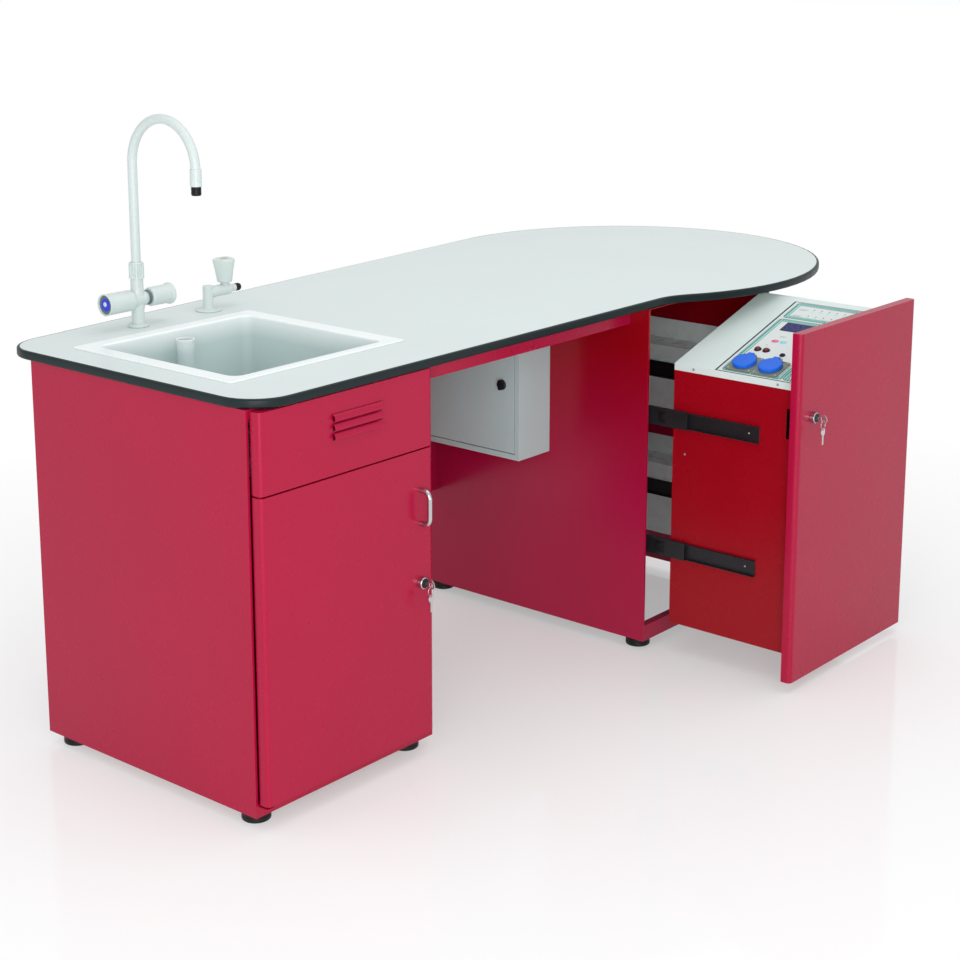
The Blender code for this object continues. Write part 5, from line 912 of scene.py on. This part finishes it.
def feet():
    """Round levelling feet with a stepped pad and a turned stem."""
    for node in [name for name in frame["nodes"] if "_foot_" in name]:
        low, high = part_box(node)
        centre = ((low.x + high.x) / 2, (low.y + high.y) / 2, 0.0)
        radius = (high.x - low.x) / 2
        top = 24 * MM - GAP
        profile = [
            (0.0, 0.0), (radius - 2 * MM, 0.0), (radius, 2 * MM), (radius, 9 * MM),
            (radius - 1.2 * MM, 10 * MM), (radius - 1.2 * MM, 11 * MM), (radius, 12 * MM),
            (radius, 16 * MM), (radius - 2 * MM, 17.5 * MM),
            (radius * 0.55, top - MM), (radius * 0.5, top), (5 * MM, top), (5 * MM, high.z), (0.0, high.z),
        ]
        stand_for(node, turned_solid(profile, centre))


def door_handle():
    """The D handle: a bright bar with round bends."""
    low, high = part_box("door_handle")
    x = (low.x + high.x) / 2
    radius = (high.x - low.x) / 2 + 0.9 * MM
    out = low.y + radius
    bottom, top = low.z + radius, high.z - radius
    bend, steps = 16 * MM, 12
    path = [Vector((x, high.y, bottom))]
    for centre_z, start in ((bottom + bend, 1.5 * math.pi), (top - bend, math.pi)):
        for step in range(steps + 1):
            angle = start - math.pi / 2 * step / steps
            path.append(Vector((x, out + bend + bend * math.cos(angle), centre_z + bend * math.sin(angle))))
    path.append(Vector((x, high.y, top)))
    stand_for("door_handle", tube(path, radius, 28), sharp=60)


def plate_with_hole(outline, hole, thickness, matrix):
    """A flat plate with a round hole, both outlines having the same number of points."""
    half = thickness / 2
    rings = []
    for points, height in ((hole, -half), (outline, -half), (outline, half), (hole, half)):
        rings.append([matrix @ Vector((x, y, height)) for x, y in points])
    shape = loft(rings, loop=True)
    soften(shape, 0.25 * MM, 2, 50)
    return shape


def blade(length, width, thickness, matrix, notches=5):
    """A key's notched blade, along -Y of its frame from the origin."""
    outline = [(-width / 2, 2 * MM), (-width / 2, -length + MM), (-width / 4, -length)]
    outline += [(width / 4, -length), (width / 2, -length + MM)]
    pitch = (length - 4 * MM) / notches
    for notch in range(notches):
        start = -length + 2 * MM + notch * pitch
        depth = (0.8 + 0.35 * math.sin(2.4 * notch)) * MM
        outline += [(width / 2, start), (width / 2 - depth, start + pitch * 0.35)]
        outline += [(width / 2 - depth, start + pitch * 0.6), (width / 2, start + pitch * 0.9)]
    outline.append((width / 2, 2 * MM))
    shape = prism(outline, -thickness / 2, thickness / 2, matrix)
    soften(shape, 0.15 * MM, 1, 50)
    return shape


def bow_outline(radius, sides=48):
    """A key's bow: round with three shallow lobes."""
    points = []
    for step in range(sides):
        angle = FULL_TURN * step / sides
        reach = radius * (0.955 + 0.045 * math.cos(3 * angle + math.pi))
        points.append((reach * math.cos(angle), reach * math.sin(angle)))
    return points


def lock_and_keys(prefix):
    """Lock face, the key in it, and the split ring with the spare key."""
    barrel = cad_copy(f"{prefix}_lock_barrel")
    soften(barrel, 0.3 * MM, 2)
    stand_for(f"{prefix}_lock_barrel", barrel)

    key_low, key_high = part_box(f"{prefix}_key")
    x = (key_low.x + key_high.x) / 2
    ring_low, ring_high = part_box(f"{prefix}_key_ring")
    bow_y = (ring_low.y + ring_high.y) / 2
    barrel_low, barrel_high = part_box(f"{prefix}_lock_barrel")
    axis_z = (barrel_low.z + barrel_high.z) / 2
    plug_end, cam_back = barrel_low.y, key_high.y
    barrel_radius = (barrel_high.z - barrel_low.z) / 2
    face = [(5.9 * MM, plug_end - 0.4 * MM), (barrel_radius - 1.8 * MM, plug_end - 0.4 * MM),
            (barrel_radius - 1.8 * MM, plug_end + 0.4 * MM), (5.9 * MM, plug_end + 0.4 * MM)]
    insert = lathe(corner_cut(face, 0.2 * MM, 2, True), axis_frame((x, 0.0, axis_z), "Y"), 48, True)
    piece(f"{prefix}_lock_face", insert, "black_plastic", body_of(f"{prefix}_lock_barrel"))
    plug_face, plug_back = plug_end - 0.2 * MM, cam_back - MM
    profile = [(0.0, plug_face), (5.7 * MM, plug_face), (5.7 * MM, plug_back), (0.0, plug_back)]
    plug = turned_solid(profile, (x, 0.0, axis_z), "Y", 40, 0.4 * MM)
    cam = block((key_low.x, cam_back - 2 * MM, key_low.z), (key_high.x, cam_back, axis_z + 8 * MM))
    soften(cam, 0.4 * MM)
    bow_frame = Matrix.Translation(Vector((x, bow_y, axis_z))) @ Matrix.Rotation(math.pi / 2, 4, "Y")
    bow = plate_with_hole(bow_outline(9.5 * MM), circle(5 * MM, 48), SHEET, bow_frame)
    stem = block((x - MM, bow_y + 7 * MM, axis_z - 3.5 * MM), (x + MM, plug_end + MM, axis_z + 3.5 * MM))
    soften(stem, 0.25 * MM)
    piece(f"{prefix}_lock_plug", plug, "black_plastic", body_of(f"{prefix}_key"))
    stand_for(f"{prefix}_key", joined(cam, bow, stem))

    wire, ring_radius = 0.9 * MM, 9 * MM
    ring_z = (ring_high.z - wire) - ring_radius
    path = []
    for step in range(97):
        angle = 1.35 * math.pi + 2 * FULL_TURN * step / 96
        offset = 0.42 * MM * (step / 48 - 1)
        across, rise = ring_radius * math.cos(angle), ring_radius * math.sin(angle)
        path.append(Vector((x + across, bow_y + offset, ring_z + rise)))
    ring = tube(path, wire * 0.62, 10)
    head_z = ring_z - ring_radius - 8.5 * MM + 2 * wire
    upright = Matrix.Translation(Vector((x, bow_y, head_z))) @ Matrix.Rotation(math.pi / 2, 4, "X")
    hole = [(px, py + 5 * MM) for px, py in circle(2.2 * MM, 48)]
    head = plate_with_hole(bow_outline(8.5 * MM), hole, 1.8 * MM, upright)
    spare_top = head_z - 5 * MM
    spare_frame = Matrix.Translation(Vector((x, bow_y, spare_top))) @ Matrix.Rotation(math.pi / 2, 4, "X")
    spare = blade(spare_top - ring_low.z, 6 * MM, 1.6 * MM, spare_frame)
    stand_for(f"{prefix}_key_ring", joined(ring, head, spare), sharp=50)


# Control cover

COVER_SLOPE = math.radians(17)
COVER_FLANGE = 16 * MM
PRINT = 0.22 * MM
OVERLAY_REAR_INSET = 111 * MM
SOCKET_ACROSS = 41.6 * MM
BUTTON_ACROSS = 110 * MM


def cover_frame(up, forward):
    """A place on the cover: up its slope from the low edge, and forward from the overlay's rear edge."""
    low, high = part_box("control_cover")
    overlay_rear = high.y - OVERLAY_REAR_INSET
    edge = low.z + COVER_FLANGE - GAP
    origin = Vector((low.x, overlay_rear, edge))
    across = Matrix.Rotation(-COVER_SLOPE, 4, "Y")
    return Matrix.Translation(origin) @ across @ Matrix.Translation(Vector((up, -forward, 0.0)))


def fitting_frame(node, across):
    """The frame of a fitting on the cover, from its own box and its level distance from the low edge."""
    low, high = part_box(node)
    cover_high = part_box("control_cover")[1]
    forward = cover_high.y - OVERLAY_REAR_INSET - (low.y + high.y) / 2
    return cover_frame(across / math.cos(COVER_SLOPE), forward)


def printed(name, start, end, paint, corner=0.0, height=PRINT):
    """A thin flat patch on the cover between two places on its slope."""
    low = (min(start[0], end[0]), -max(start[1], end[1]))
    high = (max(start[0], end[0]), -min(start[1], end[1]))
    if corner:
        outline = rounded_rectangle(low, high, corner, 6)
    else:
        outline = [low, (high[0], low[1]), high, (low[0], high[1])]
    shape = prism(outline, 0.02 * MM, height, cover_frame(0.0, 0.0))
    return piece(name, shape, paint, body_of("control_cover"))


def frame_band(name, start, end, width, paint, height, inner_corner=1.5 * MM):
    """A flat printed border: a rounded rectangle with a smaller one cut out of it."""
    low, high = (start[0], -end[1]), (end[0], -start[1])
    outer = rounded_rectangle(low, high, inner_corner + width, 6)
    inner_low = (low[0] + width, low[1] + width)
    inner = rounded_rectangle(inner_low, (high[0] - width, high[1] - width), inner_corner, 6)
    matrix = cover_frame(0.0, 0.0)
    rings = []
    for points, level in ((inner, 0.02 * MM), (outer, 0.02 * MM), (outer, height), (inner, height)):
        rings.append([matrix @ Vector((x, y, level)) for x, y in points])
    piece(name, loft(rings, loop=True), paint, body_of("control_cover"))


OVERLAY_LENGTH = 350 * MM
OVERLAY_DEPTH = 232 * MM
LOWER_TOP = 264 * MM
UPPER_FOOT = 272 * MM
FIELD_SPLIT = 162 * MM
BAND = 8.6 * MM


def overlay():
    """The printed overlay: dark outline, pale ground, hatched borders and a display."""
    printed("overlay_outline", (0.6 * MM, -4.5 * MM), (OVERLAY_LENGTH + 2 * MM, OVERLAY_DEPTH),
            "overlay_line", height=0.08 * MM)
    printed("overlay_ground", (3.4 * MM, 0.0), (OVERLAY_LENGTH, OVERLAY_DEPTH - 2 * MM), "overlay_ground",
            height=0.12 * MM)
    fields = {
        "lower_rear": ((8 * MM, 8.6 * MM), (LOWER_TOP, FIELD_SPLIT - MM)),
        "lower_front": ((8 * MM, FIELD_SPLIT + 2 * MM), (LOWER_TOP, OVERLAY_DEPTH - 8 * MM)),
        "upper": ((UPPER_FOOT, 8.6 * MM), (OVERLAY_LENGTH - 3 * MM, OVERLAY_DEPTH - 8 * MM)),
    }
    for name, (start, end) in fields.items():
        frame_band(f"overlay_band_{name}", start, end, BAND, "overlay_teal", 0.20 * MM)
        frame_band(f"overlay_line_{name}", (start[0] + BAND + MM, start[1] + BAND + MM),
                   (end[0] - BAND - MM, end[1] - BAND - MM), 1.2 * MM, "overlay_line", 0.20 * MM)
        frame_band(f"overlay_rim_{name}", (start[0] - MM, start[1] - MM), (end[0] + MM, end[1] + MM),
                   1.2 * MM, "overlay_line", 0.21 * MM, BAND)

    printed("display_bezel", (212 * MM, 36 * MM), (251 * MM, 118 * MM), "black_plastic", 2 * MM, 0.9 * MM)
    printed("display_window", (214.5 * MM, 38.5 * MM), (248.5 * MM, 115.5 * MM), "display", MM, 1.0 * MM)
    printed("touch_key_pink", (155 * MM, 46 * MM), (168 * MM, 64 * MM), "overlay_pink", 6 * MM, 0.35 * MM)
    printed("touch_key_cyan", (155 * MM, 67 * MM), (168 * MM, 85 * MM), "overlay_cyan", 6 * MM, 0.35 * MM)
    for index, (up, forward) in enumerate(((161.5, 50.5), (161.5, 72), (139.8, 46.5))):
        printed(f"touch_mark_{index}", ((up - 1.2) * MM, (forward - 1.2) * MM),
                ((up + 1.2) * MM, (forward + 1.2) * MM), "overlay_line", MM, 0.42 * MM)
    for index, up in enumerate((182, 186)):
        printed(f"caption_bar_{index}", (up * MM, 54 * MM), ((up + 1.6) * MM, (68 + 2 * index) * MM),
                "overlay_print")
    lamp_rows()


LAMP_PITCH = 20 * MM
LAMP_COUNT = 8


def lamp_rows():
    """Two rows of small red lamps on the upper field, each with a green patch and grey caption bars."""
    profile = [(0.0, 0.0), (1.5 * MM, 0.0), (1.5 * MM, 0.5 * MM), (0.8 * MM, 1.1 * MM), (0.0, 1.3 * MM)]
    for row, (up, first) in enumerate(((324 * MM, 63 * MM), (294 * MM, 64 * MM))):
        for index in range(LAMP_COUNT):
            forward = first + index * LAMP_PITCH
            if forward > OVERLAY_DEPTH - 22 * MM:
                break
            shape = lathe(corner_cut(profile, 0.3 * MM, 2), cover_frame(up, forward), 20)
            piece(f"lamp_{row}_{index}", shape, "lamp_red", body_of("control_cover"))
            start = (up - 12 * MM, forward - 5 * MM)
            end = (up - 5 * MM, forward + 5 * MM)
            printed(f"lamp_patch_{row}_{index}", start, end, "overlay_mint", 2.5 * MM)
            printed(f"lamp_mark_{row}_{index}", (up - 9.4 * MM, forward - MM), (up - 7.6 * MM, forward + MM),
                    "overlay_print", height=0.3 * MM)
        for line in range(2):
            start = (up - (9 - 4 * line) * MM, 27 * MM)
            end = (start[0] + 1.8 * MM, (45 + 4 * line) * MM)
            printed(f"row_caption_{row}_{line}", start, end, "overlay_print")


def screw(name, matrix, radius, body):
    """A domed screw head with a cross recess, standing on the plane of its frame."""
    profile = [(0.0, -0.2 * MM), (radius, -0.2 * MM), (radius, radius * 0.25), (radius * 0.8, radius * 0.55),
               (0.0, radius * 0.72)]
    head = lathe(corner_cut(profile, radius * 0.2, 3), matrix, 28)
    bar, reach = radius * 0.16, radius * 0.6
    cross = [
        (bar, bar), (bar, reach), (-bar, reach), (-bar, bar), (-reach, bar), (-reach, -bar),
        (-bar, -bar), (-bar, -reach), (bar, -reach), (bar, -bar), (reach, -bar), (reach, bar),
    ]
    cutter = prism(cross, radius * 0.3, radius, matrix)
    shape = boolean(head, cutter, "DIFFERENCE")
    return piece(name, shape, "zinc", body)


def round_jack():
    """A small black socket on the overlay."""
    profile = [
        (2 * MM, -2 * MM), (6.5 * MM, -0.1 * MM), (6.5 * MM, 2.4 * MM), (5.2 * MM, 3.6 * MM),
        (3.4 * MM, 3.8 * MM), (2.4 * MM, 2.0 * MM), (2 * MM, -2 * MM),
    ]
    matrix = cover_frame(106 * MM, 107 * MM)
    piece("round_jack", lathe(corner_cut(profile, 0.6 * MM, 3), matrix, 48, True), "black_plastic",
          body_of("control_cover"))


def cover_fittings():
    """Sockets with their lids and inserts, buttons, the small jack and the cover's screws."""
    for index in (1, 2):
        base = cad_copy(f"socket_base_{index}")
        soften(base, 0.5 * MM, 2, 30)
        stand_for(f"socket_base_{index}", base)
        socket_lid(index)
        push_button(index)
        socket_details(index)
    round_jack()

    low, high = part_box("control_cover")
    flange_z = low.z + COVER_FLANGE / 2
    outward = axis_frame((0, 0, 0), Vector((-1, 0, 0)))
    for index, place in enumerate((0.22, 0.85)):
        y = low.y + (high.y - low.y) * place
        matrix = Matrix.Translation(Vector((low.x, y, flange_z))) @ outward
        screw(f"cover_screw_{index}", matrix, 3 * MM, body_of("control_cover"))


SOCKET_PLATE = 65.5 * MM
SOCKET_WELL = 19.5 * MM
SOCKET_COLLAR = 25.5 * MM
LID_BOTTOM = 9.8 * MM
LID_TOP = 14.7 * MM


def socket_lid(index):
    """The hinged lid: a domed disc with a skirt that closes over the collar."""
    hinged = cad_copy(f"socket_lid_{index}")
    soften(hinged, 0.4 * MM, 2, 30)
    inner, outer = SOCKET_COLLAR + 0.3 * MM, SOCKET_COLLAR + 1.8 * MM
    profile = [
        (0.0, LID_BOTTOM), (inner, LID_BOTTOM), (inner, 4.2 * MM), (outer, 4.2 * MM),
        (outer, LID_BOTTOM + 2.4 * MM), (outer - 1.6 * MM, LID_BOTTOM + 4.0 * MM),
        (outer - 7 * MM, LID_TOP - 0.3 * MM), (0.0, LID_TOP),
    ]
    matrix = fitting_frame(f"socket_base_{index}", SOCKET_ACROSS)
    cap = lathe(corner_cut(profile, 0.7 * MM, 3), matrix, 72)
    lug = block((20 * MM, -8 * MM, 8 * MM), (32.6 * MM, 8 * MM, 14.2 * MM))
    lug.transform(matrix)
    soften(lug, 1.4 * MM, 3)
    stand_for(f"socket_lid_{index}", joined(hinged, cap, lug))


def push_button(index):
    """A domed button in a dark bezel ring."""
    matrix = fitting_frame(f"push_button_{index}", BUTTON_ACROSS)
    stem = cad_copy(f"push_button_{index}")
    soften(stem, 0.25 * MM, 2, 34)
    dome = [
        (0.0, MM), (7.2 * MM, MM), (7.2 * MM, 3.2 * MM), (6.2 * MM, 5.0 * MM), (3.4 * MM, 6.3 * MM),
        (0.0, 6.7 * MM),
    ]
    crown = lathe(corner_cut(dome, 1.2 * MM, 4), matrix, 48)
    stand_for(f"push_button_{index}", joined(stem, crown), sharp=50)
    bezel = [
        (7.4 * MM, 0.0), (8.8 * MM, 0.0), (8.8 * MM, 1.2 * MM), (8.2 * MM, 2.0 * MM), (7.4 * MM, 2.0 * MM),
    ]
    ring = lathe(corner_cut(bezel, 0.3 * MM, 2, True), matrix, 48, True)
    piece(f"button_bezel_{index}", ring, "black_plastic", body_of("control_cover"))


def socket_details(index):
    """Plate screws, and inside the well two pin holes, each a near-black disc of painted shade, and two earth
    strips.
    """
    matrix = fitting_frame(f"socket_base_{index}", SOCKET_ACROSS)
    body = body_of(f"socket_base_{index}")
    reach = SOCKET_PLATE / 2 - 6 * MM
    for number, (side, end) in enumerate(((-1, -1), (1, -1), (1, 1), (-1, 1))):
        place = matrix @ Matrix.Translation(Vector((side * reach, end * reach, 3.5 * MM)))
        screw(f"socket_{index}_screw_{number}", place, 2.4 * MM, body)
    floor = (9.5 - 24.0) * MM
    for number, side in enumerate((-1, 1)):
        hole = [(0.0, floor), (3.4 * MM, floor), (3.4 * MM, floor + 0.5 * MM), (2.5 * MM, floor + 0.8 * MM),
                (2.4 * MM, floor + 0.2 * MM), (0.0, floor + 0.2 * MM)]
        place = matrix @ Matrix.Translation(Vector((0.0, side * 9.5 * MM, 0.0)))
        # A shallow near-black disc in each pin hole: painted shade.
        pin_hole_shade = lathe(corner_cut(hole, 0.2 * MM, 2), place, 28)
        piece(f"socket_{index}_contact_{number}", pin_hole_shade, "painted_shade_black", body)
        strip = rounded_rectangle((-2 * MM, -1.2 * MM), (2 * MM, 0.6 * MM), 0.5 * MM, 3)
        place = matrix @ Matrix.Translation(Vector((side * (SOCKET_WELL - 1.4 * MM), 0.0, 0.0)))
        place = place @ Matrix.Rotation(math.pi / 2, 4, "Z")
        piece(f"socket_{index}_earth_{number}", prism(strip, floor, floor + 14 * MM, place), "chrome", body)


# Slides and wall box

def slide_screws():
    """Screw heads on the fixed and the sliding members, seen from the knee space side."""
    for side, facing in (("left", -1), ("right", 1)):
        for level in ("upper", "lower"):
            node = f"slide_inner_{side}_{level}"
            low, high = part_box(node)
            outward = axis_frame((0, 0, 0), Vector((facing, 0, 0)))
            web = high.x - 1.4 * MM if facing < 0 else low.x + 1.4 * MM
            middle = (low.z + high.z) / 2
            y = low.y + 26 * MM
            matrix = Matrix.Translation(Vector((web, y, middle))) @ outward
            screw(f"{node}_screw", matrix, 2.6 * MM, body_of(node))


def slide_catches():
    """Small black catches on the middle members, just in front of the cabinet."""
    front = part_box("drawer_cabinet")[0].y
    for side, facing in (("left", -1), ("right", 1)):
        for level in ("upper", "lower"):
            node = f"slide_middle_{side}_{level}"
            low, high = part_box(node)
            x = low.x if facing < 0 else high.x
            middle = (low.z + high.z) / 2
            catch = block((x - 2.4 * MM, front - 34 * MM, middle - 13 * MM),
                          (x + 2.4 * MM, front - 12 * MM, middle + 13 * MM))
            soften(catch, MM, 3)
            tongue = block((x - 3.6 * MM, front - 29 * MM, middle - 4 * MM),
                           (x + 3.6 * MM, front - 16 * MM, middle + 8 * MM))
            soften(tongue, MM, 3)
            piece(f"{node}_catch", joined(catch, tongue), "black_plastic", body_of(node))


def tower_screw():
    """The screw low on the tower's side, near its rear edge."""
    low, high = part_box("drawer_body")
    place = Matrix.Translation(Vector((low.x, high.y - 33 * MM, high.z - 312 * MM)))
    outward = axis_frame((0, 0, 0), Vector((-1, 0, 0)))
    screw("tower_side_screw", place @ outward, 3 * MM, body_of("drawer_body"))


BREAKER_COUNT = 7
BREAKER_PITCH = 36 * MM


def breaker_toggles():
    """The switch levers on the breaker row in the wall box."""
    low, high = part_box("breaker_row")
    middle_z = (low.z + high.z) / 2
    for number in range(BREAKER_COUNT):
        y = low.y + BREAKER_PITCH * (number + 0.5)
        toggle = block((low.x - 6 * MM, y - 5 * MM, middle_z - 2 * MM),
                       (low.x + MM, y + 5 * MM, middle_z + 9 * MM))
        soften(toggle, 1.2 * MM, 3)
        piece(f"breaker_toggle_{number + 1}", toggle, "black_plastic", body_of("breaker_row"))


# Floor, light and camera

def floor():
    """A glossy pale floor that fades to white away from the table."""
    shape = bmesh.new()
    bmesh.ops.create_grid(shape, x_segments=2, y_segments=2, size=30.0)
    mesh = bpy.data.meshes.new("floor")
    shape.to_mesh(mesh)
    shape.free()
    item = bpy.data.objects.new("floor", mesh)
    scene.collection.objects.link(item)

    graph = Graph("floor")
    shader = graph.shader
    shader.inputs["Base Color"].default_value = (0.93, 0.93, 0.93, 1.0)
    shader.inputs["Roughness"].default_value = 0.09
    shader.inputs["Specular IOR Level"].default_value = 0.5
    away = graph.add("ShaderNodeVectorMath", {0: graph.place}, operation="LENGTH").outputs["Value"]
    fade = graph.span(away, 0.35, 1.0, 0.9, 2.3)
    rays = graph.add("ShaderNodeLightPath").outputs
    seen = rays["Is Camera Ray"]
    for kind in ("Is Glossy Ray", "Is Transmission Ray"):
        seen = graph.add("ShaderNodeMath", {0: seen, 1: rays[kind]}, operation="MAXIMUM").outputs[0]
    white = graph.add("ShaderNodeEmission", {"Color": (1.0, 1.0, 1.0, 1.0), "Strength": 1.0})
    blend = graph.add("ShaderNodeMixShader", {0: graph.times(seen, fade),
                                              1: shader.outputs[0], 2: white.outputs[0]})
    output = graph.tree.nodes["Material Output"]
    graph.put(output.inputs["Surface"], blend.outputs[0])
    mesh.materials.append(graph.material)


WORLD_LIGHT = 0.80


def world():
    """A pale sky for light, seen as white."""
    sky = bpy.data.worlds.new("studio")
    scene.world = sky
    sky.use_nodes = True
    tree = sky.node_tree
    background = tree.nodes["Background"]
    background.inputs["Color"].default_value = (0.97, 0.985, 1.0, 1.0)
    rays = tree.nodes.new("ShaderNodeLightPath")
    strength = tree.nodes.new("ShaderNodeMapRange")
    strength.inputs["To Min"].default_value = WORLD_LIGHT
    strength.inputs["To Max"].default_value = 1.0
    tree.links.new(rays.outputs["Is Camera Ray"], strength.inputs["Value"])
    tree.links.new(strength.outputs["Result"], background.inputs["Strength"])


def area_light(name, place, target, size, power):
    """A square soft box that faces a target."""
    data = bpy.data.lights.new(name, "AREA")
    data.shape, data.size, data.energy = "SQUARE", size, power
    item = bpy.data.objects.new(name, data)
    item.location = place
    item.rotation_euler = (Vector(target) - Vector(place)).to_track_quat("-Z", "Y").to_euler()
    scene.collection.objects.link(item)


CAMERA_PLACE = Vector((-3.3159, -2.6302, 1.6781))
CAMERA_YAW = math.radians(49.9)
CAMERA_PITCH = math.radians(12.437)
CAMERA_LENS = 71.75
CAMERA_SHIFT = -0.15


def camera():
    """The photograph's viewpoint."""
    data = bpy.data.cameras.new("camera")
    data.lens, data.sensor_width, data.shift_y = CAMERA_LENS, 36.0, CAMERA_SHIFT
    item = bpy.data.objects.new("camera", data)
    level = math.cos(CAMERA_PITCH)
    look = Vector((math.sin(CAMERA_YAW) * level, math.cos(CAMERA_YAW) * level, -math.sin(CAMERA_PITCH)))
    item.location = CAMERA_PLACE
    item.rotation_euler = look.to_track_quat("-Z", "Y").to_euler()
    scene.collection.objects.link(item)
    scene.camera = item


# The whole scene

dress_carcasses()
vent_panel()
sink_bowl()
standpipe()
main_tap()
gas_tap()
feet()
door_handle()
for lock in ("door", "drawer"):
    lock_and_keys(lock)
overlay()
cover_fittings()
slide_screws()
slide_catches()
tower_screw()
breaker_toggles()
floor()
world()
area_light("overhead", (0.2, -0.4, 3.4), (0.0, 0.0, 0.6), 3.2, 27.0)
area_light("front_left", (-3.5, -2.9, 1.2), (0.2, -0.1, 0.45), 2.4, 98.0)
camera()
